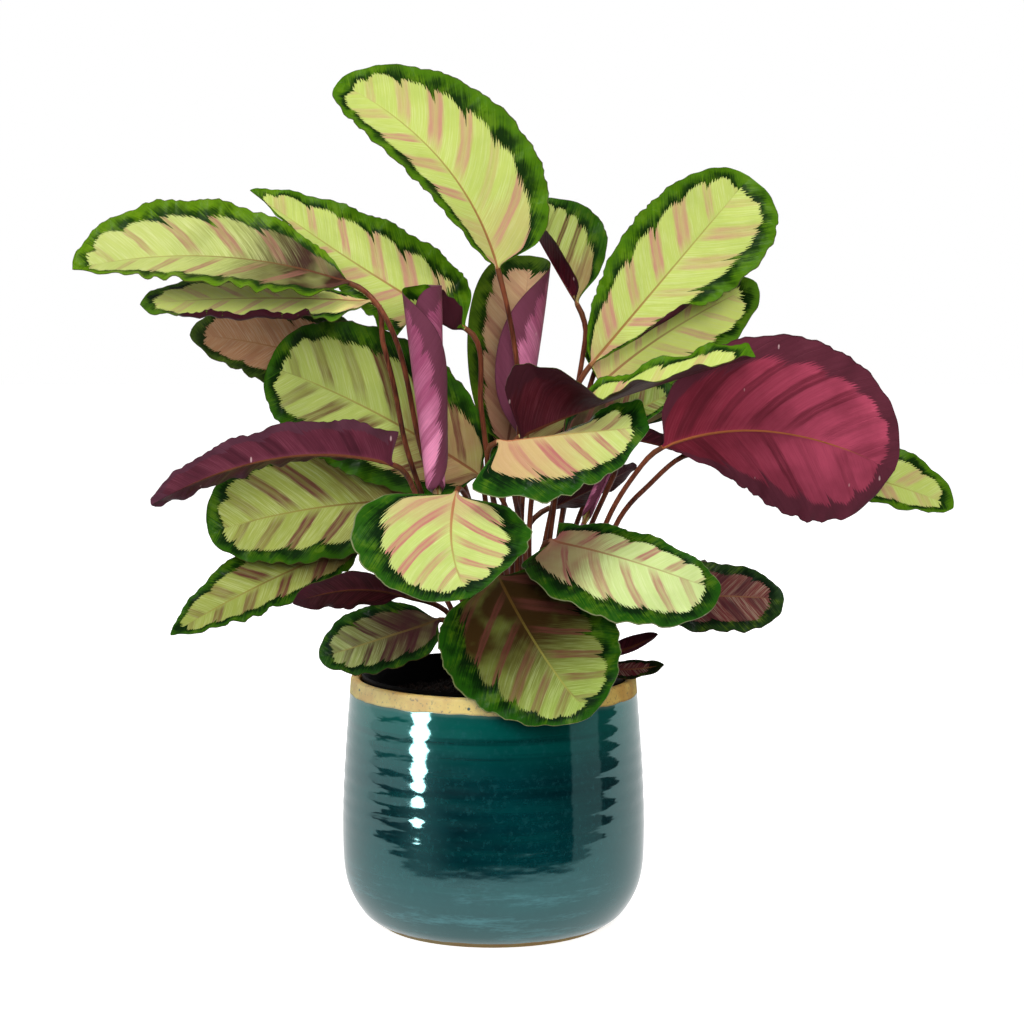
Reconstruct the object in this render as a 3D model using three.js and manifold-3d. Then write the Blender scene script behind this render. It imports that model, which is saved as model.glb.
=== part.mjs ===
// Potted calathea: a thrown, glazed pot that holds a black growing pot, its soil and a clump of leaves.
// Millimetres, Z up. The pot stands on z = 0 with its axis on the Z axis, and the plant's front faces -Y.

import * as THREE from "three";
import Module from "manifold-3d";

const wasm = await Module();
wasm.setup();

// Driving dimensions of the pot

const POT_HEIGHT = 166;
const RIM_RADIUS = 95;
const BELLY_RADIUS = 100.5;
const FOOT_RADIUS = 75;
const WALL = 6;
const FLOOR = 8;
const POT_SEGMENTS = 40;

// Driving dimensions of the growing pot and the soil

const SEAT_GAP = 0.3;
const NURSERY_TOP = 168;
const NURSERY_FOOT_RADIUS = 62;
const NURSERY_LIP_RADIUS = 87.3;
const NURSERY_NECK_RADIUS = 84.5;
const NURSERY_LIP_DROP = 9;
const NURSERY_WALL = 1.3;
const NURSERY_FLOOR = 1.6;
const NURSERY_SEGMENTS = 32;
const SOIL_EDGE = 149;
const SOIL_CROWN = 152;
const STEM_DEPTH = 13; // how far a leaf stem is sunk below the soil's edge level
const STEM_HOLE_CLEARANCE = 0.45;

// Driving dimensions of the leaves

const BLADE_THICKNESS = 0.8;
const STEM_ROOT_RADIUS = 1.9;
const STEM_TOP_RADIUS = 1.65;
const RIB_DEPTH = 1.1;
const TIP_HALF_WIDTH = 1;
const STATION_STEP = 14; // length of blade between two rings of points, half a wave of the margin
const FEWEST_STATIONS = 6;
const MOST_STATIONS = 12;
const STEM_STEP = 44;
const FLAT_LINES = 5; // lines of points across a flat blade, margin to margin
const ROLLED_LINES = 11;
const EDGE_WAVE = 1.5;

// Leaves
// root: where the stem leaves the soil. via: points that the stem passes. base, mid, tip: three points of
// the midrib. face: where the upper side looks. width: the left and right half, seen from above with the
// tip ahead. fold and foldTip: how far each half is lifted, in degrees, at the base and at the tip.
// foldSpan: the shares of the midrib between which that changes.
// curl: further turn of each half towards its margin. ends: how slender each half is at base and tip.
// lobe: how far the base of each half reaches back past the stem. roll: radii of each rolled half.

const LEAVES = [
  {
    name: "leaf_top",
    root: [15, -6], via: [[16, -12, 368], [16, -6, 283]],
    base: [3, -12, 435], mid: [-34, 0, 505], tip: [-102, 22, 557],
    face: [0.15, -1, 0.25], width: [32, 54], fold: [25, 5], curl: [15, 10],
    ends: [[0.65, 0.4], [0.42, 0.65]],
  },
  {
    name: "leaf_left_long",
    root: [1, -6], via: [[-64, -45, 395], [-46, -42, 319]],
    base: [-92, -31, 426], mid: [-180, -27, 443], tip: [-271, -29, 435],
    face: [0, -0.66, 0.75], width: [44, 42], fold: [17, 17], curl: [5, 5],
    ends: [[0.5, 0.82], [0.9, 0.6]],
  },
  {
    name: "leaf_left_crest",
    root: [12, 0], via: [[-8, -8, 344]],
    base: [-18, -10, 396], mid: [-88, -2, 437], tip: [-159, 4, 486],
    face: [0.2, -0.7, 0.7], width: [28, 42], fold: [-50, 8], foldTip: [20, 8], curl: [0, 8],
    ends: [[0.3, 1.3], [0.42, 0.75]],
  },
  {
    name: "leaf_left_thin",
    root: [-6, -6], via: [[-71, -32, 388], [-64, -32, 360], [-56, -24, 318]],
    base: [-78, -26, 414], mid: [-154, -17, 416], tip: [-229, -20, 412],
    face: [0, -0.38, 0.92], width: [36, 34], fold: [-5, 0], curl: [5, 5],
    ends: [[0.5, 0.6], [1.1, 0.6]],
  },
  {
    name: "leaf_left_shaded",
    root: [-6, 6],
    base: [-70, 40, 356], mid: [-137, 45, 379], tip: [-204, 40, 390],
    face: [0, -0.8, 0.55], width: [30, 36],
  },
  {
    name: "leaf_left_round",
    root: [4, 2],
    base: [-8, 4, 298], mid: [-78, -4, 341], tip: [-148, 0, 372],
    face: [0, -1, 0.15], width: [45, 52], fold: [5, 8], curl: [8, 8],
    ends: [[0.5, 0.45], [0.5, 0.45]],
  },
  {
    name: "leaf_rolled_front",
    root: [8, -18],
    base: [-35, -56, 290], mid: [-39, -60, 359], tip: [-43, -62, 426],
    face: [0, -1, 0], width: [50, 40], roll: [[6.5, 14], [4.5, 11]],
    ends: [[0.5, 0.35], [0.5, 0.12]],
  },
  {
    name: "leaf_rolled_tall",
    root: [19, 0],
    base: [9, 28, 315], mid: [18, 34, 380], tip: [24, 38, 443],
    face: [-0.2, -1, 0], width: [40, 60], fold: [-15, 5], roll: [[300, 300], [14, 20]],
    ends: [[0.5, 0.3], [0.5, 0.5]],
  },
  {
    name: "leaf_small_upper",
    root: [20, 7], via: [[61, 22, 388]],
    base: [56, 24, 410], mid: [34, 30, 447], tip: [15, 38, 482],
    face: [0.2, -1, 0.1], width: [16, 43], fold: [125, 0], foldTip: [90, 0], curl: [0, 8],
    ends: [[0.5, 0.6], [0.8, 0.9]],
  },
  {
    name: "leaf_right_top",
    root: [29, 6], via: [[44, 8, 302]],
    base: [64, 8, 371], mid: [115, 15, 431], tip: [170, 28, 495],
    face: [-0.1, -1, 0.3], width: [40, 44], fold: [6, 6], curl: [5, 5],
    ends: [[0.75, 0.5], [1.2, 0.4]],
  },
  {
    name: "leaf_right_shaded",
    root: [36, 12], via: [[46, 37, 268]],
    base: [71, 38, 356], mid: [116, 40, 391], tip: [177, 45, 424],
    face: [0, -0.85, 0.5], width: [34, 36],
    ends: [[0.32, 0.6], [0.5, 0.5]],
  },
  {
    name: "leaf_folded_centre",
    root: [26, -12], via: [[21, -34, 248]], handle: 0.6,
    base: [17, -58, 329], mid: [82, -62, 355], tip: [167, -60, 380],
    face: [0, -0.3, 0.95], width: [20, 48], fold: [8, 82], foldTip: [25, 28], foldSpan: [0.2, 0.42],
    curl: [0, 0], ends: [[0.5, 0.2], [0.22, 0.55]], wave: 2.5,
  },
  {
    name: "leaf_centre_front",
    root: [19, -12], via: [[7, -44, 255]], handle: 0.6,
    base: [3, -86, 328], mid: [48, -97, 334], tip: [98, -96, 338],
    face: [0.1, -0.45, 0.9], width: [29, 43], fold: [-60, -30], foldTip: [15, -30], curl: [0, -10],
    lobe: [0, 38], ends: [[0.75, 0.16], [0.5, 0.84]],
  },
  {
    name: "leaf_right_underside",
    root: [33, -12], via: [[92, -9, 299], [74, -11, 268]],
    base: [111, -8, 318], mid: [182, -14, 329], tip: [263, -12, 303],
    face: [0, 0.95, 0.25], width: [57, 65], curl: [8, 10],
    ends: [[0.95, 0.36], [0.66, 0.6]],
  },
  {
    name: "leaf_right_far",
    root: [40, 0], via: [[98, 0, 288], [80, -2, 264]],
    base: [137, 12, 313], mid: [225, 22, 302], tip: [308, 24, 275],
    face: [0, -0.8, 0.55], width: [29, 19], lobe: [26, 26],
    ends: [[0.9, 0.55], [0.9, 0.6]],
  },
  {
    name: "leaf_left_underside",
    root: [5, -12], via: [[-48, -62, 290]],
    base: [-63, -78, 313], mid: [-136, -92, 318], tip: [-214, -92, 289],
    face: [0, 0.7, 0.7], width: [22, 20], fold: [40, 42], foldTip: [40, 14], curl: [0, 0], lobe: [9, 9],
    ends: [[0.16, 0.5], [0.2, 0.4]],
  },
  {
    name: "leaf_left_lower",
    root: [-2, 0],
    base: [-45, 2, 282], mid: [-117, -8, 278], tip: [-187, -14, 262],
    face: [0, -0.85, 0.5], width: [42, 53], fold: [5, 5],
    ends: [[0.5, 0.5], [0.5, 0.5]],
  },
  {
    name: "leaf_left_drooping",
    root: [-9, 0],
    base: [-87, -8, 256], mid: [-151, -26, 230], tip: [-210, -36, 198],
    face: [-0.1, -0.75, 0.65], width: [24, 30],
    ends: [[0.5, 0.8], [0.5, 0.8]],
  },
  {
    name: "leaf_front_round",
    root: [12, -12], handle: 0.6,
    base: [-23, -76, 295], mid: [-25, -114, 265], tip: [-14, -136, 236],
    face: [0, -0.7, 0.6], width: [50, 62], ends: [[0.5, 0.55], [0.5, 0.75]],
  },
  {
    name: "leaf_small_purple",
    root: [-2, -12], via: [[-28, -42, 212]], handle: 0.6,
    base: [-56, -68, 228], mid: [-90, -82, 234], tip: [-126, -88, 226],
    face: [0, 0.8, 0.6], width: [14, 18],
  },
  {
    name: "leaf_small_left",
    root: [2, -18], handle: 0.5,
    base: [-34, -50, 210], mid: [-74, -72, 200], tip: [-110, -82, 190],
    face: [-0.2, -0.8, 0.6], width: [28, 28],
  },
  {
    name: "leaf_over_rim",
    root: [16, -18], handle: 0.4,
    base: [3, -42, 238], mid: [31, -92, 195], tip: [61, -124, 160],
    face: [-0.2, -0.85, 0.5], width: [50, 58],
    ends: [[0.5, 0.5], [0.4, 0.72]],
  },
  {
    name: "leaf_right_front",
    root: [30, -18], handle: 0.5,
    base: [37, -48, 261], mid: [87, -88, 253], tip: [143, -98, 234],
    face: [0.1, -0.7, 0.7], width: [22, 50], fold: [5, -5], lobe: [18, 18],
    ends: [[0.35, 0.45], [0.5, 0.5]],
  },
  {
    name: "leaf_right_low",
    root: [40, -12],
    base: [96, -20, 219], mid: [143, -32, 223], tip: [189, -38, 221],
    face: [0, -0.8, 0.6], width: [24, 28], ends: [[0.5, 0.55], [0.5, 0.38]],
  },
  {
    name: "leaf_sprout",
    root: [47, -5],
    base: [74, -10, 181], mid: [90, -14, 186], tip: [108, -20, 196],
    face: [0, 1, -0.3], width: [3, 8], fold: [15, 15], wave: 0.6,
  },
  {
    name: "leaf_rim_right",
    root: [37, -18],
    base: [70, -28, 175], mid: [91, -34, 175], tip: [111, -40, 179],
    face: [0, -0.7, 0.7], width: [7, 8], wave: 0.6,
  },
  {
    name: "leaf_hidden_dark",
    root: [26, 12],
    base: [37, 21, 275], mid: [69, 28, 289], tip: [96, 32, 303],
    face: [0, 0.6, 0.8], width: [16, 14],
  },
  {
    name: "leaf_rolled_bud",
    root: [33, 0],
    base: [60, 8, 266], mid: [72, 4, 295], tip: [82, 2, 317],
    face: [0, -1, 0], width: [14, 10.5], roll: [[3.6, 4.4], [2.6, 3.2]], lines: 9,
  },
  {
    name: "leaf_behind_centre",
    root: [26, 0], handle: 0.6,
    base: [44, -8, 322], mid: [87, -5, 339], tip: [121, 0, 356],
    face: [0, -0.8, 0.6], width: [26, 12],
  },
  {
    name: "leaf_bit_right",
    root: [36, 5], via: [[58, 14, 245], [80, 10, 298]],
    base: [92, 6, 323], mid: [108, 5, 319], tip: [128, 4, 313],
    face: [0, 0.5, 0.85], width: [9, 11], fold: [20, 20], wave: 0.8,
  },
  {
    name: "leaf_back_left_high",
    root: [5, 12],
    base: [-34, 56, 322], mid: [-76, 110, 368], tip: [-116, 156, 345],
    face: [0, 0, 1], width: [38, 38],
  },
  {
    name: "leaf_back_right_high",
    root: [29, 18], via: [[46, 52, 262]],
    base: [72, 68, 372], mid: [104, 108, 415], tip: [136, 152, 400],
    face: [-0.2, 0.3, 1], width: [36, 36],
  },
  {
    name: "leaf_back_right",
    root: [36, 24], via: [[56, 54, 260]],
    base: [95, 56, 325], mid: [150, 104, 352], tip: [205, 146, 330],
    face: [0, 0, 1], width: [38, 38],
  },
  {
    name: "leaf_back_centre",
    root: [22, 18],
    base: [20, 46, 288], mid: [26, 102, 338], tip: [28, 160, 318],
    face: [0, 0.2, 1], width: [38, 38],
  },
  {
    name: "leaf_back_left_low",
    root: [-2, 12],
    base: [-32, 48, 240], mid: [-88, 96, 285], tip: [-140, 140, 262],
    face: [0, 0, 1], width: [34, 34],
  },
  {
    name: "leaf_back_top",
    root: [11, 14], via: [[-10, 58, 330]],
    base: [8, 62, 438], mid: [0, 100, 482], tip: [-8, 142, 490],
    face: [0, 0.3, 1], width: [30, 30],
  },
  {
    name: "leaf_back_low",
    root: [15, 24],
    base: [18, 46, 190], mid: [25, 100, 222], tip: [30, 152, 190],
    face: [0, 0.2, 1], width: [36, 36],
  },
  {
    name: "leaf_back_right_low",
    root: [43, 12],
    base: [68, 26, 206], mid: [108, 62, 232], tip: [148, 96, 222],
    face: [0, 0, 1], width: [28, 28],
  },
];

// Colours

const GLAZE = { color: 0x0f5f63, roughness: 0.12, metalness: 0 };
const BLACK_PLASTIC = { color: 0x121212, roughness: 0.55, metalness: 0 };
const DARK_SOIL = { color: 0x241a14, roughness: 0.95, metalness: 0 };
const LEAF_GREEN = { color: 0x9fae5a, roughness: 0.45, metalness: 0 };

function named(name, geometry, look) {
  geometry.computeVertexNormals();
  const mesh = new THREE.Mesh(geometry, new THREE.MeshStandardMaterial(look));
  mesh.name = name;
  return mesh;
}

function vector(point) {
  return new THREE.Vector3(...point);
}

function mix(from, to, share) {
  return from + (to - from) * share;
}

// Solids of revolution about the Z axis, from [radius, height] points that run from the lower end of the
// axis out and back to its upper end.

function revolved(profile, segments) {
  const points = profile.map(([radius, height]) => new THREE.Vector2(radius, height));
  const geometry = new THREE.LatheGeometry(points, segments);
  geometry.rotateX(Math.PI / 2);
  return geometry;
}

// Glazed pot

// The outside of the wall: a round shoulder from the foot to the belly, then a slow taper to the rim.
const POT_WALL = new THREE.SplineCurve([
  new THREE.Vector2(FOOT_RADIUS, 0),
  new THREE.Vector2(88, 10),
  new THREE.Vector2(98, 30),
  new THREE.Vector2(BELLY_RADIUS, 60),
  new THREE.Vector2(99.2, 105),
  new THREE.Vector2(RIM_RADIUS, POT_HEIGHT - 1.5),
]);
const WALL_POINTS = 13;

function potMesh() {
  const outside = POT_WALL.getPoints(WALL_POINTS).map((p) => [p.x, p.y]);
  const inside = [
    [RIM_RADIUS - 1.5, POT_HEIGHT],
    [RIM_RADIUS - WALL + 1.5, POT_HEIGHT],
    [RIM_RADIUS - WALL, POT_HEIGHT - 2],
    [99.2 - WALL, 105],
    [BELLY_RADIUS - WALL, 60],
    [98 - WALL, 32],
    [86 - WALL, 15],
    [70, FLOOR],
    [0, FLOOR],
  ];
  return named("pot", revolved([[0, 0], ...outside, ...inside], POT_SEGMENTS), GLAZE);
}

// Black growing pot

const NURSERY_BOTTOM = FLOOR + SEAT_GAP;
const NURSERY_LIP_FOOT = NURSERY_TOP - NURSERY_LIP_DROP;

function nurseryMesh() {
  const profile = [
    [0, NURSERY_BOTTOM],
    [NURSERY_FOOT_RADIUS, NURSERY_BOTTOM],
    [NURSERY_NECK_RADIUS, NURSERY_LIP_FOOT],
    [NURSERY_LIP_RADIUS, NURSERY_LIP_FOOT],
    [NURSERY_LIP_RADIUS, NURSERY_TOP],
    [NURSERY_LIP_RADIUS - NURSERY_WALL, NURSERY_TOP],
    [NURSERY_NECK_RADIUS - NURSERY_WALL, NURSERY_LIP_FOOT],
    [NURSERY_FOOT_RADIUS - NURSERY_WALL, NURSERY_BOTTOM + NURSERY_FLOOR],
    [0, NURSERY_BOTTOM + NURSERY_FLOOR],
  ];
  return named("nursery_pot", revolved(profile, NURSERY_SEGMENTS), BLACK_PLASTIC);
}

// The growing pot's inner radius at a height, below its lip.
function nurseryInside(height) {
  const share = (height - NURSERY_BOTTOM) / (NURSERY_LIP_FOOT - NURSERY_BOTTOM);
  return mix(NURSERY_FOOT_RADIUS, NURSERY_NECK_RADIUS, share) - NURSERY_WALL;
}

// Soil, with a plain hole for every stem

function manifoldOf(geometry) {
  const at = geometry.getAttribute("position");
  const index = geometry.getIndex();
  const mesh = new wasm.Mesh({
    numProp: 3,
    vertProperties: new Float32Array(at.array),
    triVerts: new Uint32Array(index.array),
  });
  mesh.merge();
  return new wasm.Manifold(mesh);
}

function geometryOf(solid) {
  const mesh = solid.getMesh();
  const geometry = new THREE.BufferGeometry();
  geometry.setAttribute("position", new THREE.BufferAttribute(mesh.vertProperties, 3));
  geometry.setIndex(new THREE.BufferAttribute(mesh.triVerts, 1));
  return geometry;
}

function soilMesh() {
  const bottom = NURSERY_BOTTOM + NURSERY_FLOOR + SEAT_GAP;
  const wallGap = 2 * SEAT_GAP;
  const profile = [
    [0, bottom],
    [nurseryInside(bottom) - wallGap, bottom],
    [nurseryInside(SOIL_EDGE) - wallGap, SOIL_EDGE],
    [60, SOIL_EDGE + 1.5],
    [40, SOIL_CROWN],
    [0, SOIL_CROWN],
  ];
  let soil = manifoldOf(revolved(profile, NURSERY_SEGMENTS));
  const holeFloor = SOIL_EDGE - STEM_DEPTH - SEAT_GAP;
  const holeHeight = SOIL_CROWN + 5 - holeFloor;
  for (const leaf of LEAVES) {
    const sides = 2 * linesOf(leaf);
    const radius = (STEM_ROOT_RADIUS + STEM_HOLE_CLEARANCE) / Math.cos(Math.PI / sides);
    const hole = wasm.Manifold.cylinder(holeHeight, radius, radius, sides)
      .translate([leaf.root[0], leaf.root[1], holeFloor]);
    soil = soil.subtract(hole);
  }
  return named("soil", geometryOf(soil), DARK_SOIL);
}

// Leaves

function linesOf(leaf) {
  return leaf.lines || (leaf.roll ? ROLLED_LINES : FLAT_LINES);
}

// The midrib as a quadratic curve through the leaf's base, mid and tip points.
function midribOf(leaf) {
  const base = vector(leaf.base);
  const tip = vector(leaf.tip);
  const control = vector(leaf.mid).multiplyScalar(2)
    .addScaledVector(base, -0.5).addScaledVector(tip, -0.5);
  return new THREE.QuadraticBezierCurve3(base, control, tip);
}

// Directions along the midrib, out of the upper side and to the right.
function bladeFrame(leaf, midrib, u) {
  const along = midrib.getTangent(u);
  const up = vector(leaf.face);
  up.addScaledVector(along, -up.dot(along)).normalize();
  const right = new THREE.Vector3().crossVectors(along, up);
  return { along, up, right };
}

// Share of the full half width at u, for a margin that starts as u^base and ends as (1 - u)^tip.
function taper(u, [base, tip]) {
  const peak = base / (base + tip);
  return (u / peak) ** base * ((1 - u) / (1 - peak)) ** tip;
}

// Where a half of the cross-section is at an arc length from the midrib: sideways, up and its slope.
function halfSection(arc, width, fold, turn, rollRadius) {
  const bend = rollRadius ? 1 / rollRadius : turn / width;
  const slope = fold + bend * arc;
  if (Math.abs(bend) < 1e-6) {
    return { side: arc * Math.cos(fold), lift: arc * Math.sin(fold), slope };
  }
  return {
    side: (Math.sin(slope) - Math.sin(fold)) / bend,
    lift: (Math.cos(fold) - Math.cos(slope)) / bend,
    slope,
  };
}

function stationsOf(midrib) {
  const steps = Math.round(midrib.getLength() / STATION_STEP);
  return THREE.MathUtils.clamp(steps, FEWEST_STATIONS, MOST_STATIONS);
}

// One ring of points round the blade at station k of the given count: along the upper side from the left margin to the
// right one, then back along the lower side.
function bladeRing(leaf, midrib, k, stations) {
  const even = k / stations;
  const u = Math.min((even + (1 - Math.cos(Math.PI * even)) / 2) / 2, 1);
  const { along, up, right } = bladeFrame(leaf, midrib, u);
  const centre = midrib.getPoint(u);
  const lines = linesOf(leaf);
  const ends = leaf.ends || [[0.5, 0.6], [0.5, 0.6]];
  const fold = leaf.fold || [0, 0];
  const foldTip = leaf.foldTip || fold;
  const [foldFrom, foldTo] = leaf.foldSpan || [0, 1];
  const folded = THREE.MathUtils.clamp((u - foldFrom) / (foldTo - foldFrom), 0, 1);
  const curl = leaf.curl || [10, 10];
  const upper = [];
  const lower = [];
  for (let line = 0; line < lines; line++) {
    const across = (2 * line) / (lines - 1) - 1;
    const half = across < 0 ? 0 : 1;
    const sign = half ? 1 : -1;
    const reach = Math.abs(across);
    const share = u < 1 ? taper(u, ends[half]) : 0;
    const width = Math.max(leaf.width[half] * share, TIP_HALF_WIDTH);
    const section = halfSection(
      reach * width,
      width,
      THREE.MathUtils.degToRad(mix(fold[half], foldTip[half], folded)),
      THREE.MathUtils.degToRad(curl[half]),
      leaf.roll && mix(leaf.roll[half][0], leaf.roll[half][1], u),
    );
    const slope = across === 0 ? 0 : section.slope;
    const waveSign = (k + half) % 2 ? 1 : -1;
    const wave = leaf.roll ? 0 : (leaf.wave ?? EDGE_WAVE) * waveSign * reach ** 2.5 * Math.sqrt(share);
    const back = (leaf.lobe ? leaf.lobe[half] : 0) * reach ** 1.5 * (1 - u) ** 4;
    const middle = centre.clone()
      .addScaledVector(right, sign * section.side)
      .addScaledVector(up, section.lift + wave)
      .addScaledVector(along, -back);
    const outward = up.clone().multiplyScalar(Math.cos(slope))
      .addScaledVector(right, -sign * Math.sin(slope));
    const rib = across === 0 ? RIB_DEPTH * (1 - u) : 0;
    upper.push(middle.clone().addScaledVector(outward, BLADE_THICKNESS / 2));
    lower.unshift(middle.clone().addScaledVector(outward, -BLADE_THICKNESS / 2 - rib));
  }
  return [...upper, ...lower];
}

// The stem's centre line, from its foot in the soil to the blade, as cubic curves through its points.
function stemCurve(leaf, midrib) {
  const mouth = new THREE.Vector3(leaf.root[0], leaf.root[1], SOIL_CROWN);
  // The stem's points are listed from the blade down, as they are seen from the top.
  const via = (leaf.via || []).map(vector).sort((a, b) => a.z - b.z);
  const points = [mouth, ...via, vector(leaf.base)];
  const last = points.length - 1;
  const tangents = points.map((point, i) => {
    if (i === last) return midrib.getTangent(0);
    const lean = new THREE.Vector3().subVectors(points[i + 1], points[Math.max(i - 1, 0)]).normalize();
    return i === 0 ? lean.multiplyScalar(0.4).add(new THREE.Vector3(0, 0, 1)).normalize() : lean;
  });
  const path = new THREE.CurvePath();
  for (let i = 0; i < last; i++) {
    const reach = points[i].distanceTo(points[i + 1]) / 3;
    const endReach = i === last - 1 ? reach * (leaf.handle || 1) : reach;
    path.add(new THREE.CubicBezierCurve3(
      points[i],
      points[i].clone().addScaledVector(tangents[i], reach),
      points[i + 1].clone().addScaledVector(tangents[i + 1], -endReach),
      points[i + 1],
    ));
  }
  return path;
}

function roundRing(centre, right, up, radius, count) {
  const step = (2 * Math.PI) / count;
  return Array.from({ length: count }, (_, k) => {
    const angle = Math.PI - step / 2 - step * k;
    return centre.clone()
      .addScaledVector(right, radius * Math.cos(angle))
      .addScaledVector(up, radius * Math.sin(angle));
  });
}

// Rings of the stem, foot first. Their turn about the stem is carried down from the blade's own frame.
function stemRings(leaf, midrib) {
  const count = 2 * linesOf(leaf);
  const path = stemCurve(leaf, midrib);
  const steps = Math.max(3, Math.round(path.getLength() / STEM_STEP));
  const blade = bladeFrame(leaf, midrib, 0);
  const right = blade.right.clone();
  const rings = [];
  for (let i = steps; i >= 0; i--) {
    const share = i / steps;
    const along = i === steps ? blade.along : path.getTangentAt(share);
    right.addScaledVector(along, -right.dot(along)).normalize();
    const up = new THREE.Vector3().crossVectors(right, along);
    const radius = mix(STEM_ROOT_RADIUS, STEM_TOP_RADIUS, share);
    rings.unshift(roundRing(path.getPointAt(share), right, up, radius, count));
  }
  // The foot goes straight down into its hole.
  const down = new THREE.Vector3(0, 0, 1);
  const footRight = new THREE.Vector3(right.x, right.y, 0).normalize();
  const footUp = new THREE.Vector3().crossVectors(footRight, down);
  const foot = new THREE.Vector3(leaf.root[0], leaf.root[1], SOIL_EDGE - STEM_DEPTH);
  const mouth = foot.clone().setZ(SOIL_CROWN - 0.5);
  rings[0] = roundRing(mouth, footRight, footUp, STEM_ROOT_RADIUS, count);
  rings.unshift(roundRing(foot, footRight, footUp, STEM_ROOT_RADIUS, count));
  return rings;
}

// A closed skin over rings of equal count. Faces of the lower half are split along the same diagonal as
// those above them, so a waved blade keeps its thickness.
function skin(rings) {
  const count = rings[0].length;
  const lines = count / 2;
  const index = [];
  for (let i = 0; i + 1 < rings.length; i++) {
    for (let k = 0; k < count; k++) {
      const next = (k + 1) % count;
      const a = i * count + k;
      const b = i * count + next;
      const c = a + count;
      const d = b + count;
      if (k < lines) {
        index.push(a, d, c, a, b, d);
      } else {
        index.push(a, b, c, b, d, c);
      }
    }
  }
  const end = (rings.length - 1) * count;
  for (let j = 0; j + 1 < lines; j++) {
    const [a, b, c, d] = [j, j + 1, count - 2 - j, count - 1 - j];
    index.push(a, c, b, a, d, c);
    index.push(end + a, end + b, end + c, end + a, end + c, end + d);
  }
  const geometry = new THREE.BufferGeometry().setFromPoints(rings.flat());
  geometry.setIndex(index);
  return geometry;
}

function leafMesh(leaf) {
  const midrib = midribOf(leaf);
  const rings = stemRings(leaf, midrib);
  const stations = stationsOf(midrib);
  for (let k = 1; k <= stations; k++) {
    rings.push(bladeRing(leaf, midrib, k, stations));
  }
  return named(leaf.name, skin(rings), LEAF_GREEN);
}

const plant = new THREE.Group();
plant.name = "potted_calathea";
plant.add(potMesh(), nurseryMesh(), soilMesh(), ...LEAVES.map(leafMesh));

export default plant;
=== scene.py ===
# Potted calathea: leaves, soil and pots dressed for a studio picture.
# Metres, Z up. Lengths of the plant are given in millimetres and turned into metres where a mesh is made.

import math

import bpy
import numpy as np
from mathutils import Euler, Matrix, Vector


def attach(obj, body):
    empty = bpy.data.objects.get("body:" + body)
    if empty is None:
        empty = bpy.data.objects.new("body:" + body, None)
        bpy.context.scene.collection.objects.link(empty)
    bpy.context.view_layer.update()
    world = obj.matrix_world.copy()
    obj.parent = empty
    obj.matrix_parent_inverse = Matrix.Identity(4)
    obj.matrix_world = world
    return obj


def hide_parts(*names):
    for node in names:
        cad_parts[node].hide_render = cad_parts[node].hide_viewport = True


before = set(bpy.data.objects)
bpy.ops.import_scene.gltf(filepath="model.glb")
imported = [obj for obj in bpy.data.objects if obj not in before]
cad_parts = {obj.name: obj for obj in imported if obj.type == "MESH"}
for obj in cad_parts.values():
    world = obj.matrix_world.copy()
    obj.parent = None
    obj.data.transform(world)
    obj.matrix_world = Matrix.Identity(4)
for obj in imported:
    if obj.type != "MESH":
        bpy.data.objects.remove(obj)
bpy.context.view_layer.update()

MM = 0.001
SHARP_ANGLE = math.radians(55)

# Camera and light

CAMERA_PLACE = (0.0123, -1.8, 0.466)
CAMERA_PITCH = math.radians(6.07)
FOCAL_PIXELS = 2738
IMAGE_PIXELS = 1024
SENSOR_WIDTH = 36

DARK_FRONT = 0.01
FRONT_GLOW = 0.16
AMBIENT_ABOVE = 0.36
AMBIENT_BELOW = 0.12
SHEEN_ABOVE = 0.14
FLOOR_EDGE = -0.29
FLOOR_SIZE = 12
PLANT_MIDDLE = (0, 0, 0.35)

# Pot

POT_HEIGHT = 166
RIM_RADIUS = 95
RIM_ROUNDING = 2.5
SHOULDER_RADIUS = 99.2
SHOULDER_HEIGHT = 105
BELLY_RADIUS = 100.5
BELLY_HEIGHT = 60
HIP_RADIUS = 98
FOOT_RADIUS = 75
POT_WALL = 6
POT_FLOOR = 8
POT_SEGMENTS = 192
RING_PITCH = 11.5
RING_DEPTH = 0.17
RING_LOW = 58
RING_HIGH = 156
RING_FADE_LOW = 36
RING_FADE_HIGH = 10
BARE_RIM = 10.5
BARE_FOOT = 4.2
GLAZE_IOR = 1.95
GLAZE_MIRROR_TINT = (0.46, 1.0, 1.0, 1.0)

# Growing pot and soil

SEAT_GAP = 0.3
NURSERY_TOP = 168
NURSERY_FOOT_RADIUS = 62
NURSERY_LIP_RADIUS = 87.3
NURSERY_NECK_RADIUS = 84.5
NURSERY_LIP_DROP = 9
NURSERY_WALL = 1.3
NURSERY_FLOOR = 1.6
NURSERY_SEGMENTS = 128
SOIL_EDGE = 149
SOIL_CROWN = 152
SOIL_RADIUS = 80
SOIL_CROWN_RADIUS = 42
SOIL_SEGMENTS = 48
CRUMB_DENSITY = 90000
CRUMB_SIZE = 2.1
CRUMB_SEED = 7

# Leaves

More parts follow.
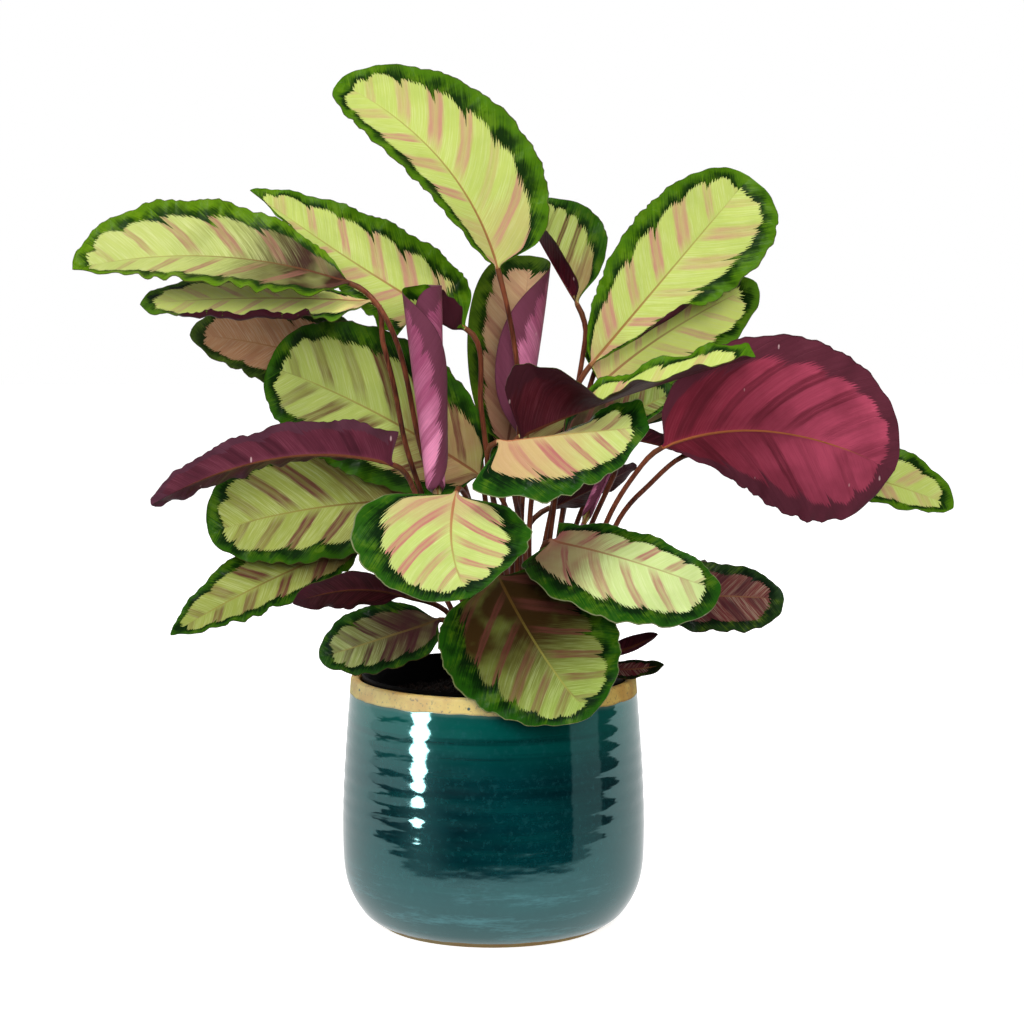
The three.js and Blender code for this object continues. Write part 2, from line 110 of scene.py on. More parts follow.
BLADE_THICKNESS = 0.45
STEM_ROOT_RADIUS = 1.9
STEM_TOP_RADIUS = 1.65
STEM_DEPTH = 12
JOINT_SWELL = 0.28
JOINT_LENGTH = 13
RIB_DEPTH = 1.2
RIB_HALF_WIDTH = 1.1
GROOVE_DEPTH = 0.3
TIP_HALF_WIDTH = 0.5
HALF_LINES = 16
ROLLED_HALF_LINES = 30
LINE_CROWDING = 1.35  # above 1, lines of points gather at the midrib
ROW_STEP = 1.8
STEM_STEP = 6
WAVE_STEP = 14
FEWEST_WAVES = 6
MOST_WAVES = 12
FEWEST_ROWS = 24
MOST_ROWS = 110
PLEAT_DEPTH = 1.3
SMALL_PLEAT_DEPTH = 0.3
SMALL_PLEATS_PER_RIB = 3
ROLLED_PLEATS = 0.4
FULL_RELIEF_WIDTH = 30  # a blade with a narrower half has shallower ruffles and pleats
RUFFLE_STEP = 16
RUFFLE_LIFT = 1.1
SCALLOP_DEPTH = 1.9
TURN_RADIUS = 2.2
TURN_ANGLE = 165
TURN_ONSET = 0.07
TURN_ENDING = 0.1
VEIN_SLANT = 0.75
VEIN_SWEEP = 0.004
RIB_SHIFT = 0.43
TIP_MARGIN = 11
CORNER_ROUNDING = 0.12
RIM_REACH = 0.97
CENTRE_REACH = 0.68
GREEN_REACH = 1 - CENTRE_REACH
TOOTH_SIZE = 0.06

# What each point of a leaf knows of its place, for the pattern

FIELDS = ("run", "ribs", "reach", "across", "along")


def leaf(name, root, base, mid, tip, face, width, via=(), tone="bright", under="burgundy", **form):
    """One leaf: stem foot, midrib points and form, which follow the solid of the same name.

    Pairs hold the value of the left half, then of the right half. Folds and curls are degrees, ends are the
    powers that shape the outline at the stalk and the tip, and a roll has its radii there. Turned names the
    half that is turned up, where that starts and ends, and the share of the half.
    """
    points = {"root": root, "via": via, "base": base, "mid": mid, "tip": tip, "face": face}
    shape = {
        "fold": (0, 0), "curl": (10, 10), "ends": ((0.5, 0.6), (0.5, 0.6)),
        "lobe": (0, 0), "roll": None, "handle": 1, "wave": 1.5, "fold_span": (0, 1), "ruffle": 1,
        "turned": None, "pleated": 1, "rib_spacing": 0.155, "green_base": 0,
    }
    shape.update(form)
    shape.setdefault("fold_tip", shape["fold"])
    return {"name": name, "width": width, "tone": tone, "under": under, **points, **shape}


LEAVES = [
    leaf("leaf_top", (15, -6), (3, -12, 435), (-34, 0, 505), (-102, 22, 557), (0.15, -1, 0.25), (32, 54),
         via=((16, -6, 283), (16, -12, 368)), fold=(25, 5), curl=(15, 10), ends=((0.65, 0.4), (0.42, 0.65))),
    leaf("leaf_left_long", (1, -6), (-92, -31, 426), (-180, -27, 443), (-271, -29, 435), (0, -0.66, 0.75),
         (44, 42), via=((-46, -42, 319), (-64, -45, 395)), fold=(17, 17), curl=(5, 5),
         ends=((0.5, 0.82), (0.9, 0.6)), ruffle=1.5, tone="shade_browned"),
    leaf("leaf_left_crest", (12, 0), (-18, -10, 396), (-88, -2, 437), (-159, 4, 486), (0.2, -0.7, 0.7),
         (28, 42), via=((-8, -8, 344),), fold=(-50, 8), fold_tip=(20, 8), curl=(0, 8),
         ends=((0.3, 1.3), (0.42, 0.75)), ruffle=1.4,
         turned=(0, -0.07, 0.24, 0.9), half_lines=24, green_base=26),
    leaf("leaf_left_thin", (-6, -6), (-78, -26, 414), (-154, -17, 416), (-229, -20, 412), (0, -0.38, 0.92),
         (36, 34), via=((-56, -24, 318), (-64, -32, 360), (-71, -32, 388)), fold=(-5, 0), curl=(5, 5),
         ends=((0.5, 0.6), (1.1, 0.6)), ruffle=1.3, turned=(0, 0.2, 0.86, 0.2), half_lines=24,
         tone="pale"),
    leaf("leaf_left_shaded", (-6, 6), (-70, 40, 356), (-137, 45, 379), (-204, 40, 390), (0, -0.8, 0.55),
         (30, 36), tone="backlit"),
    leaf("leaf_left_round", (4, 2), (-8, 4, 298), (-78, -4, 341), (-148, 0, 372), (0, -1, 0.15), (45, 52),
         fold=(5, 8), curl=(8, 8), ends=((0.5, 0.45), (0.5, 0.45)), tone="striped"),
    leaf("leaf_rolled_front", (8, -18), (-35, -56, 290), (-39, -60, 359), (-43, -62, 426), (0, -1, 0),
         (50, 40), roll=((6.5, 14), (4.5, 11)), ends=((0.5, 0.35), (0.5, 0.12)), under="young"),
    leaf("leaf_rolled_tall", (19, 0), (9, 28, 315), (18, 34, 380), (24, 38, 443), (-0.2, -1, 0), (40, 60),
         fold=(-15, 5), roll=((300, 300), (14, 20)), ends=((0.5, 0.3), (0.5, 0.5)), tone="inner",
         under="young"),
    leaf("leaf_small_upper", (20, 7), (56, 24, 410), (34, 30, 447), (15, 38, 482), (0.2, -1, 0.1), (16, 43),
         via=((61, 22, 388),), fold=(125, 0), fold_tip=(90, 0), curl=(0, 8), ends=((0.5, 0.6), (0.8, 0.9)),
         tone="striped"),
    leaf("leaf_right_top", (29, 6), (64, 8, 371), (115, 15, 431), (170, 28, 495), (-0.1, -1, 0.3), (40, 44),
         via=((44, 8, 302),), fold=(6, 6), curl=(5, 5), ends=((0.75, 0.5), (1.2, 0.4)),
         turned=(1, 0.02, 0.5, 0.26), half_lines=24),
    leaf("leaf_right_shaded", (36, 12), (71, 38, 356), (116, 40, 391), (177, 45, 424), (0, -0.85, 0.5),
         (34, 36), via=((46, 37, 268),), ends=((0.32, 0.6), (0.5, 0.5)), tone="pale"),
    leaf("leaf_folded_centre", (26, -12), (17, -58, 329), (82, -62, 355), (167, -60, 380), (0, -0.3, 0.95),
         (20, 48), via=((21, -34, 248),), fold=(8, 82), fold_tip=(25, 28), fold_span=(0.2, 0.42), curl=(0, 0),
         handle=0.6, ends=((0.5, 0.2), (0.22, 0.55)), wave=2.5, ruffle=1.4),
    leaf("leaf_centre_front", (19, -12), (3, -86, 328), (48, -97, 334), (98, -96, 338), (0.1, -0.45, 0.9),
         (29, 43), via=((7, -44, 255),), fold=(-60, -30), fold_tip=(15, -30), curl=(0, -10), lobe=(0, 38),
         handle=0.6, ends=((0.75, 0.16), (0.5, 0.84)), tone="salmon", rib_spacing=0.18),
    leaf("leaf_right_underside", (33, -12), (111, -8, 318), (182, -14, 329), (263, -12, 303),
         (0, 0.95, 0.25), (57, 65), via=((74, -11, 268), (92, -9, 299)), curl=(8, 10),
         ends=((0.95, 0.36), (0.66, 0.6)), under="magenta", pleated=1.6),
    leaf("leaf_right_far", (40, 0), (137, 12, 313), (225, 22, 302), (308, 24, 275), (0, -0.8, 0.55),
         (29, 19), via=((80, -2, 264), (98, 0, 288)), lobe=(26, 26), ends=((0.9, 0.55), (0.9, 0.6))),
    leaf("leaf_left_underside", (5, -12), (-63, -78, 313), (-136, -92, 318), (-214, -92, 289),
         (0, 0.7, 0.7), (22, 20), via=((-48, -62, 290),), fold=(40, 42), fold_tip=(40, 14), curl=(0, 0),
         lobe=(9, 9), ends=((0.16, 0.5), (0.2, 0.4)), under="mauve", ruffle=1.6, pleated=3.8),
    leaf("leaf_left_lower", (-2, 0), (-45, 2, 282), (-117, -8, 278), (-187, -14, 262), (0, -0.85, 0.5),
         (42, 53), fold=(5, 5), ends=((0.5, 0.5), (0.5, 0.5)), tone="mossy", rib_spacing=0.165),
    leaf("leaf_left_drooping", (-9, 0), (-87, -8, 256), (-151, -26, 230), (-210, -36, 198),
         (-0.1, -0.75, 0.65), (24, 30), ends=((0.5, 0.8), (0.5, 0.8)), tone="mossy", ruffle=1.4,
         rib_spacing=0.18),
    leaf("leaf_front_round", (12, -12), (-23, -76, 295), (-25, -114, 265), (-14, -136, 236), (0, -0.7, 0.6),
         (50, 62), handle=0.6, ends=((0.5, 0.55), (0.5, 0.75)), tone="rosy", rib_spacing=0.2),
    leaf("leaf_small_purple", (-2, -12), (-56, -68, 228), (-90, -82, 234), (-126, -88, 226), (0, 0.8, 0.6),
         (14, 18), via=((-28, -42, 212),), handle=0.6),
    # The next leaf is 2 mm narrower on each side than its solid, so that its waves clear the leaf after it.
    leaf("leaf_small_left", (2, -18), (-34, -50, 210), (-74, -72, 200), (-110, -82, 190), (-0.2, -0.8, 0.6),
         (26, 26), handle=0.5, tone="dusky", rib_spacing=0.18, wave=1),
    leaf("leaf_over_rim", (16, -18), (3, -42, 238), (31, -92, 195), (61, -124, 160), (-0.2, -0.85, 0.5),
         (50, 58), handle=0.4, ends=((0.5, 0.5), (0.4, 0.72)), tone="olive", rib_spacing=0.17),
    leaf("leaf_right_front", (30, -18), (37, -48, 261), (87, -88, 253), (143, -98, 234), (0.1, -0.7, 0.7),
         (22, 50), fold=(5, -5), lobe=(18, 18), handle=0.5, ends=((0.35, 0.45), (0.5, 0.5)), tone="mulberry",
         rib_spacing=0.175),
    leaf("leaf_right_low", (40, -12), (96, -20, 219), (143, -32, 223), (189, -38, 221), (0, -0.8, 0.6),
         (24, 28), ends=((0.5, 0.55), (0.5, 0.38)), tone="dark", rib_spacing=0.22),
    leaf("leaf_sprout", (47, -5), (74, -10, 181), (90, -14, 186), (108, -20, 196), (0, 1, -0.3), (3, 8),
         fold=(15, 15), wave=0.6, tone="dark"),
    leaf("leaf_rim_right", (37, -18), (70, -28, 175), (91, -34, 175), (111, -40, 179), (0, -0.7, 0.7),
         (7, 8), wave=0.6, tone="wine"),
    leaf("leaf_hidden_dark", (26, 12), (37, 21, 275), (69, 28, 289), (96, 32, 303), (0, 0.6, 0.8), (16, 14)),
    leaf("leaf_rolled_bud", (33, 0), (60, 8, 266), (72, 4, 295), (82, 2, 317), (0, -1, 0), (14, 10.5),
         roll=((3.6, 4.4), (2.6, 3.2)), under="young"),
    leaf("leaf_behind_centre", (26, 0), (44, -8, 322), (87, -5, 339), (121, 0, 356), (0, -0.8, 0.6),
         (26, 12), handle=0.6, tone="olive"),
    leaf("leaf_bit_right", (36, 5), (92, 6, 323), (108, 5, 319), (128, 4, 313), (0, 0.5, 0.85), (9, 11),
         via=((58, 14, 245), (80, 10, 298)), fold=(20, 20), wave=0.8),
    leaf("leaf_back_left_high", (5, 12), (-34, 56, 322), (-76, 110, 368), (-116, 156, 345), (0, 0, 1),
         (38, 38)),
    leaf("leaf_back_right_high", (29, 18), (72, 68, 372), (104, 108, 415), (136, 152, 400), (-0.2, 0.3, 1),
         (36, 36), via=((46, 52, 262),)),
    leaf("leaf_back_right", (36, 24), (95, 56, 325), (150, 104, 352), (205, 146, 330), (0, 0, 1), (38, 38),
         via=((56, 54, 260),), tone="striped"),
    leaf("leaf_back_centre", (22, 18), (20, 46, 288), (26, 102, 338), (28, 160, 318), (0, 0.2, 1), (38, 38),
         tone="striped"),
    leaf("leaf_back_left_low", (-2, 12), (-32, 48, 240), (-88, 96, 285), (-140, 140, 262), (0, 0, 1),
         (34, 34), tone="striped"),
    leaf("leaf_back_top", (11, 14), (8, 62, 438), (0, 100, 482), (-8, 142, 490), (0, 0.3, 1), (30, 30),
         via=((-10, 58, 330),)),
    leaf("leaf_back_low", (15, 24), (18, 46, 190), (25, 100, 222), (30, 152, 190), (0, 0.2, 1), (36, 36),
         tone="olive"),
    leaf("leaf_back_right_low", (43, 12), (68, 26, 206), (108, 62, 232), (148, 96, 222), (0, 0, 1), (28, 28),
         tone="striped"),
]


def linear(red, green, blue):
    """A screen colour, 0 to 255, as the linear colour that nodes take."""
    def channel(value):
        value /= 255
        return value / 12.92 if value <= 0.04045 else ((value + 0.055) / 1.055) ** 2.4
    return channel(red), channel(green), channel(blue), 1


def between(share, first, second):
    return first + (second - first) * share


def mixed(share, first, second):
    """A plain colour between two plain colours."""
    return tuple(between(share, a, b) for a, b in zip(first, second))


# Tones of the upper side. Centre, stripes, wash near the stem, green next to the centre and near the
# edge, midrib and rim line are screen colours. Some tones paint light, shade or a highlight into them.


def upper_tone(stripes, blushed, rim=(70, 44, 32), **colours):
    """A tone, with the strength and width of its stripes and the strength and reach of its wash near the
    stem, which is the leaf's own pink in some tones and painted shade in others.
    """
    look = {part: linear(*colour) for part, colour in colours.items()}
    look["rim"] = linear(*rim)
    look["stripes"], look["stripe_width"] = stripes
    look["blushed"], look["blush_reach"] = blushed
    return look


UPPER_TONES = {
    "bright": upper_tone(
        (1.0, 0.26), (0.45, 0.3), centre=(184, 198, 100), stripe=(188, 134, 114),
        blush=(190, 146, 116), inner=(20, 44, 9), outer=(70, 112, 12), midrib=(150, 88, 54)),
    # pale: lighter colours for leaves that lie in the shade of leaves above them: painted light.
    "pale": upper_tone(
        (0.8, 0.2), (0.6, 0.3), centre=(234, 248, 130), stripe=(226, 172, 142),
        blush=(222, 180, 138), inner=(20, 44, 12), outer=(84, 130, 28), midrib=(180, 120, 80)),
    # shade_browned: the dark brown wash from the stem to past the middle of the blade is painted shadow of a
    # leaf lying over it.
    "shade_browned": upper_tone(
        (0.9, 0.18), (1.0, 0.62), centre=(180, 190, 106), stripe=(158, 106, 92),
        blush=(60, 36, 26), inner=(24, 50, 8), outer=(84, 122, 14), midrib=(96, 54, 36)),
    "striped": upper_tone(
        (1.0, 0.26), (0.8, 0.5), centre=(170, 184, 92), stripe=(96, 54, 44),
        blush=(154, 106, 84), inner=(16, 38, 8), outer=(46, 88, 12), midrib=(128, 74, 50)),
    # mossy: darker colours for low leaves under others: painted shade.
    "mossy": upper_tone(
        (1.0, 0.25), (0.7, 0.45), centre=(148, 158, 72), stripe=(100, 52, 48),
        blush=(122, 84, 62), inner=(14, 36, 8), outer=(42, 82, 12), midrib=(112, 72, 44)),
    # rosy, salmon, mulberry and olive have a pale rim line, which is partly a painted highlight along the
    # edge.
    "rosy": upper_tone(
        (1.0, 0.25), (0.5, 0.4), rim=(150, 150, 110), centre=(186, 202, 110), stripe=(184, 112, 106),
        blush=(196, 138, 122), inner=(12, 34, 10), outer=(38, 84, 14), midrib=(176, 104, 70)),
    "salmon": upper_tone(
        (1.0, 0.25), (0.62, 0.9), rim=(150, 150, 110), centre=(188, 202, 110), stripe=(170, 92, 94),
        blush=(198, 134, 114), inner=(12, 34, 10), outer=(34, 80, 14), midrib=(176, 104, 70)),
    "mulberry": upper_tone(
        (0.9, 0.22), (0.9, 0.5), rim=(150, 150, 110), centre=(194, 212, 136), stripe=(164, 92, 92),
        blush=(158, 102, 88), inner=(12, 34, 10), outer=(32, 78, 14), midrib=(150, 92, 66)),
    # olive: the dark brown wash from the stem nearly to the tip is partly painted shade.
    "olive": upper_tone(
        (1.0, 0.26), (1.0, 1.05), rim=(140, 140, 96), centre=(154, 176, 78), stripe=(112, 62, 54),
        blush=(60, 42, 18), inner=(10, 32, 8), outer=(32, 78, 12), midrib=(104, 76, 34)),
    # backlit: brownish colours for a leaf seen in shade with light through it: painted shade and light.
    "backlit": upper_tone(
        (0.4, 0.2), (0.6, 0.5), centre=(172, 124, 88), stripe=(140, 90, 70),
        blush=(140, 92, 72), inner=(28, 44, 14), outer=(62, 84, 30), midrib=(116, 70, 50)),
    "dusky": upper_tone(
        (1.0, 0.32), (1.0, 0.8), centre=(130, 140, 76), stripe=(66, 32, 38),
        blush=(72, 42, 42), inner=(10, 30, 10), outer=(30, 66, 18), midrib=(100, 76, 44)),
    "inner": upper_tone(
        (0.8, 0.25), (0.6, 0.6), centre=(206, 164, 124), stripe=(170, 112, 92),
        blush=(176, 116, 96), inner=(26, 52, 12), outer=(80, 112, 26), midrib=(130, 80, 60)),
    "wine": upper_tone(
        (0.3, 0.2), (0.3, 0.5), centre=(78, 18, 30), stripe=(62, 14, 24),
        blush=(70, 18, 28), inner=(14, 20, 8), outer=(18, 28, 8), midrib=(90, 30, 36)),
    "dark": upper_tone(
        (1.0, 0.3), (0.9, 0.8), centre=(104, 48, 46), stripe=(62, 24, 30),
        blush=(74, 28, 32), inner=(10, 26, 10), outer=(28, 52, 20), midrib=(84, 40, 40)),
}


def under_tone(**colours):
    """A tone of the lower side. Its bands lie along the ribs, and its tip is a wash of the outer end."""
    return {part: linear(*colour) for part, colour in colours.items()}


UNDER_TONES = {
    "burgundy": under_tone(
        centre=(84, 22, 34), band=(52, 12, 20), margin=(64, 24, 34),
        midrib=(100, 52, 34), tip=(66, 22, 30)),
    "mauve": under_tone(
        centre=(106, 42, 60), band=(56, 18, 30), margin=(88, 48, 62),
        midrib=(108, 60, 38), tip=(100, 44, 58)),
    "magenta": under_tone(
        centre=(140, 40, 58), band=(92, 26, 38), margin=(100, 44, 58),
        midrib=(176, 100, 58), tip=(212, 86, 116)),
    "young": under_tone(
        centre=(252, 158, 200), band=(160, 72, 110), margin=(116, 60, 80),
        midrib=(150, 90, 90), tip=(150, 72, 102)),
}


# Node trees


class Field:
    """A node's output. Arithmetic with it adds Math nodes to its tree."""

    def __init__(self, socket):
        self.socket = socket
        self.tree = socket.id_data

    def __add__(self, other):
        return maths("ADD", self, other)

    def __sub__(self, other):
        return maths("SUBTRACT", self, other)

    def __rsub__(self, other):
        return maths("SUBTRACT", other, self)

    def __mul__(self, other):
        return maths("MULTIPLY", self, other)


def fill_inputs(node, values):
    """Sets a node's inputs, and links those whose value is a field."""
    for key, value in values.items():
        if isinstance(value, Field):
            value.tree.links.new(value.socket, node.inputs[key])
        else:
            node.inputs[key].default_value = value


def add_node(tree, kind, values=None, **settings):
    """A node with its settings and the values of its inputs."""
    made = tree.nodes.new(kind)
    for key, value in settings.items():
        setattr(made, key, value)
    fill_inputs(made, values or {})
    return made


def field_node(kind, values, output=0, **settings):
    """An output of a new node, which is made beside the first field among its inputs."""
    tree = next(value.tree for value in values.values() if isinstance(value, Field))
    return Field(add_node(tree, kind, values, **settings).outputs[output])


def maths(operation, *values, clamp=False):
    return field_node("ShaderNodeMath", dict(enumerate(values)), operation=operation, use_clamp=clamp)


def smooth_step(value, low, high):
    """0 below low, 1 above high, and a soft turn between them."""
    values = {"Value": value, "From Min": low, "From Max": high}
    return field_node("ShaderNodeMapRange", values, interpolation_type="SMOOTHSTEP")


def blend(share, first, second):
    """A colour that goes from the first to the second as the share grows."""
    return field_node("ShaderNodeMix", {0: share, 6: first, 7: second}, output=2, data_type="RGBA")


def blend_value(share, first, second):
    return field_node("ShaderNodeMix", {0: share, 2: first, 3: second})


def vector_of(x, y, z=0.0):
    return field_node("ShaderNodeCombineXYZ", {0: x, 1: y, 2: z})


def mapped(place, scale, turn=(0.0, 0.0, 0.0)):
    """The place drawn closer along each axis by its own scale, so that noise there runs in streaks."""
    return field_node("ShaderNodeMapping", {"Vector": place, "Rotation": turn, "Scale": scale})


def noise(vector, scale, detail=2.0, roughness=0.5):
    values = {"Vector": vector, "Scale": scale, "Detail": detail, "Roughness": roughness}
    return field_node("ShaderNodeTexNoise", values)


def random_of(vector):
    return field_node("ShaderNodeTexWhiteNoise", {"Vector": vector}, noise_dimensions="3D")


def cells(vector, scale):
    """Distance to the nearest of scattered points, and that point's place."""
    made = add_node(vector.tree, "ShaderNodeTexVoronoi", {"Vector": vector, "Scale": scale}).outputs
    return Field(made["Distance"]), Field(made["Position"])


def specks(vector, scale, edge, core, share):
    """Soft round specks in a share of scattered cells."""
    distance, centre = cells(vector, scale)
    return smooth_step(distance, edge, core) * maths("GREATER_THAN", random_of(centre), 1 - share)


def bumped(height, depth, strength):
    """A normal for relief of that depth in millimetres."""
    return field_node("ShaderNodeBump", {"Height": height, "Distance": depth * MM, "Strength": strength})


def attribute(tree, name):
    return Field(add_node(tree, "ShaderNodeAttribute", attribute_name=name).outputs["Fac"])


def object_place(tree):
    return Field(add_node(tree, "ShaderNodeTexCoord").outputs["Object"])


def new_material(name):
    material = bpy.data.materials.new(name)
    material.use_nodes = True
    tree = material.node_tree
    return material, tree, tree.nodes["Principled BSDF"]


def new_group(name, inputs, outputs):
    """An empty shader group with named inputs and outputs, its inputs as fields, and its output node."""
    group = bpy.data.node_groups.new(name, "ShaderNodeTree")
    for labels, way in ((inputs, "INPUT"), (outputs, "OUTPUT")):
        for label in labels:
            group.interface.new_socket(name=label, in_out=way, socket_type="NodeSocketFloat")
    given = group.nodes.new("NodeGroupInput").outputs
    return group, [Field(given[label]) for label in inputs], group.nodes.new("NodeGroupOutput")


# Leaf materials


def leaf_pattern_group():
    """Where the pale centre, its lateral stripes, the veins and the green margin of a leaf lie."""
    inputs = ("Run", "Ribs", "Reach", "Across", "Along", "Centre reach", "Edge softness", "Stripe width")
    outputs = ("Centre", "Stripe", "Streak", "Margin depth", "Midrib", "Rim line", "Vein height")
    group, given, result = new_group("leaf_pattern", inputs, outputs)
    run, ribs, reach, across, along, centre_reach, softness, stripe_width = given
    side = maths("GREATER_THAN", across, 0.0)
    within = maths("FRACT", ribs)

    # The centre's outline: one lobe between two ribs, cut back at each rib, with fine teeth.
    cut_back = maths("POWER", random_of(vector_of(maths("FLOOR", ribs), side, 3.0)), 1.6) * 0.16 + 0.03
    notch = maths("EXPONENT", within * -6.0) * cut_back
    bulge = maths("SINE", within * math.pi) * 0.04
    drift = noise(vector_of(run, side), 0.06, 1.0)
    wobble = noise(vector_of(run, side), 0.5, 2.0)
    tooth = (maths("FRACT", run * 0.42 + wobble * 1.6) - 0.5) * TOOTH_SIZE
    splinter = (noise(vector_of(run, side, 5.0), 1.4, 3.0, 0.7) - 0.5) * (TOOTH_SIZE * 1.8)
    border = drift * 0.12 + (centre_reach - 0.06) - notch + bulge + tooth + splinter
    centre = 1.0 - smooth_step(reach, border - softness, border + softness)

    # Lateral stripes lie along the ribs, fade at the midrib and the tip, and differ in strength.
    to_rib = maths("PINGPONG", ribs, 0.5)
    rib_number = maths("ROUND", ribs)
    frayed = (noise(vector_of(run, across * 0.1), 0.9, 3.0) - 0.5) * 0.22 + to_rib
    breadth = stripe_width * (random_of(vector_of(rib_number, side, 21.0)) * 0.6 + 0.62)
    stripe = 1.0 - smooth_step(frayed, breadth * 0.5, breadth)
    stripe = stripe * (smooth_step(frayed, 0.0, breadth * 0.6) * 0.4 + 0.6)
    stripe = stripe * smooth_step(random_of(vector_of(rib_number, side, 8.0)), -0.35, 0.6)
    stripe = stripe * smooth_step(reach, -0.06, 0.22)
    stripe = stripe * (smooth_step(along, 1.0, 0.6) * 0.75 + 0.25) * centre

    # Fine parallel veins, the midrib, the rim and the relief.
    streak = noise(vector_of(run, across * 0.05, side), 1.5, 3.0)
    margin = maths("DIVIDE", reach - border, 1.0 - border, clamp=True)
    midrib_width = along * -0.9 + 1.25
    midrib = 1.0 - smooth_step(maths("ABSOLUTE", across), midrib_width * 0.6, midrib_width)
    midrib = midrib * smooth_step(along, 0.93, 0.74)
    rim_line = smooth_step(reach, 0.98, 0.995)
    rib_line = 1.0 - smooth_step(to_rib, 0.004, 0.02)
    height = streak * 0.5 + maths("PINGPONG", ribs * 4.0, 0.5) + rib_line * -0.5
    fill_inputs(result, dict(zip(outputs, (centre, stripe, streak, margin, midrib, rim_line, height))))
    return group


LEAF_PATTERN = leaf_pattern_group()


def leaf_pattern(tree, centre_reach, softness, stripe_width):
    values = {name.capitalize(): attribute(tree, name) for name in FIELDS}
    values |= {"Centre reach": centre_reach, "Edge softness": softness, "Stripe width": stripe_width}
    used = add_node(tree, "ShaderNodeGroup", values, node_tree=LEAF_PATTERN)
    return {socket.name: Field(socket) for socket in used.outputs}


def upper_material(name):
    """Pale centre with stripes and a wash near the stem, green margin, midrib and rim line, in one of the
    tones; some tones paint shade into the wash and a highlight into the rim line.
    """
    look = UPPER_TONES[name]
    material, tree, surface = new_material("leaf_upper_" + name)
    pattern = leaf_pattern(tree, CENTRE_REACH, 0.006, look["stripe_width"])
    place = object_place(tree)
    along = attribute(tree, "along")
    streaky = pattern["Streak"] - 0.5

    pale = mixed(0.5, look["centre"], linear(240, 240, 200))
    centre = blend(smooth_step(pattern["Streak"], 0.44, 0.7) * 0.42, look["centre"], pale)
    clouds = smooth_step(noise(place, 45.0, 3.0), 0.35, 0.7)
    centre = blend(clouds * 0.35, centre, mixed(0.3, look["centre"], look["outer"]))
    mottle = smooth_step(noise(place, 30.0, 3.0), 0.3, 0.62)
    # The wash near the stem: the leaf's own pink wash in most tones, and painted shade in shade_browned and
    # olive.
    frayed = along + (streaky * 0.35 + (mottle - 0.5) * 0.16)
    near_stem = smooth_step(frayed, look["blush_reach"], 0.35 * look["blush_reach"])
    blush = maths("MULTIPLY", near_stem * (mottle * 0.45 + 0.6), look["blushed"], clamp=True)
    centre = blend(blush, centre, look["blush"])
    stripe_colour = blend(blush * 0.25, look["stripe"], look["blush"])
    centre = blend(pattern["Stripe"] * look["stripes"], centre, stripe_colour)

    patches = noise(place, 80.0, 4.0)
    depth = streaky * 1.1 + pattern["Margin depth"] + (patches - 0.5) * 1.8
    green = blend(smooth_step(depth, 0.05, 0.75), look["inner"], look["outer"])
    flecks = smooth_step(streaky * 0.6 + patches, 0.5, 0.75)
    green = blend(flecks * 0.55, green, mixed(0.5, look["outer"], linear(120, 150, 24)))

    colour = blend(pattern["Centre"], green, centre)
    midrib_end = mixed(0.45, look["centre"], linear(150, 116, 60))
    midrib = blend(smooth_step(along, 0.1, 0.75) * 0.85, look["midrib"], midrib_end)
    colour = blend(pattern["Midrib"] * 0.85, colour, midrib)
    dents = noise(place, 170.0, 2.0)
    fill_inputs(surface, {
        "Base Color": blend(pattern["Rim line"] * 0.9, colour, mixed(0.7, look["outer"], look["rim"])),
        "Roughness": patches * 0.12 + (pattern["Centre"] * 0.16 + 0.2),
        "Specular IOR Level": 0.09,
        "Normal": bumped(dents * 1.6 + pattern["Vein height"], 0.4, 0.6),
    })
    return material


def under_material(name):
    """Centre with darker bands and clouds, duller margin, midrib and pale scratches, in one of the tones."""
    look = UNDER_TONES[name]
    material, tree, surface = new_material("leaf_under_" + name)
    pattern = leaf_pattern(tree, 0.72, 0.02, 0.3)
    place = object_place(tree)

    outwards = smooth_step(attribute(tree, "along"), 0.1, 0.9)
    centre = blend(outwards, look["centre"], look["tip"])
    lighter = mixed(0.14, look["centre"], linear(240, 170, 190))
    centre = blend(smooth_step(pattern["Streak"], 0.4, 0.7) * 0.28, centre, lighter)
    # Darker bands along the ribs: the leaf's own banding, and painted shade of the pleats.
    centre = blend(pattern["Stripe"] * 0.75, centre, look["band"])
    clouds = smooth_step(noise(place, 30.0, 3.0), 0.35, 0.7)
    centre = blend(clouds * 0.5, centre, look["band"])
    colour = blend(pattern["Centre"], look["margin"], centre)
    edge_dark = mixed(0.5, look["margin"], linear(40, 20, 24))
    colour = blend(smooth_step(pattern["Streak"], 0.62, 0.35) * 0.2, colour, edge_dark)
    scratches = specks(mapped(place, (230.0, 120.0, 75.0), (0.0, 1.0, 0.0)), 1.0, 0.17, 0.09, 0.045)
    colour = blend(scratches * 0.6, colour, linear(226, 190, 190))
    colour = blend(pattern["Midrib"], colour, look["midrib"])
    fill_inputs(surface, {
        "Base Color": blend(pattern["Rim line"], colour, edge_dark),
        "Roughness": clouds * 0.1 + 0.42,
        "Specular IOR Level": 0.13,
        "Normal": bumped(pattern["Vein height"], 0.35, 0.6),
    })
    return material


def stem_material(name, shade, lit, joint):
    """A leaf stem: long fibres, duller over the joint just below the blade."""
    material, tree, surface = new_material(name)
    place = object_place(tree)
    fibres = noise(mapped(place, (900.0, 900.0, 30.0)), 1.0, 3.0)
    share = smooth_step(fibres * 0.5 + noise(place, 60.0, 2.0) * 0.6, 0.35, 0.75)
    at_joint = smooth_step(attribute(tree, "run"), -JOINT_LENGTH, -JOINT_LENGTH * 0.6)
    fill_inputs(surface, {
        "Base Color": blend(at_joint * 0.6, blend(share, shade, lit), joint),
        "Roughness": 0.3,
        "Specular IOR Level": 0.2,
        "Normal": bumped(fibres, 0.1, 0.5),
    })
    return material


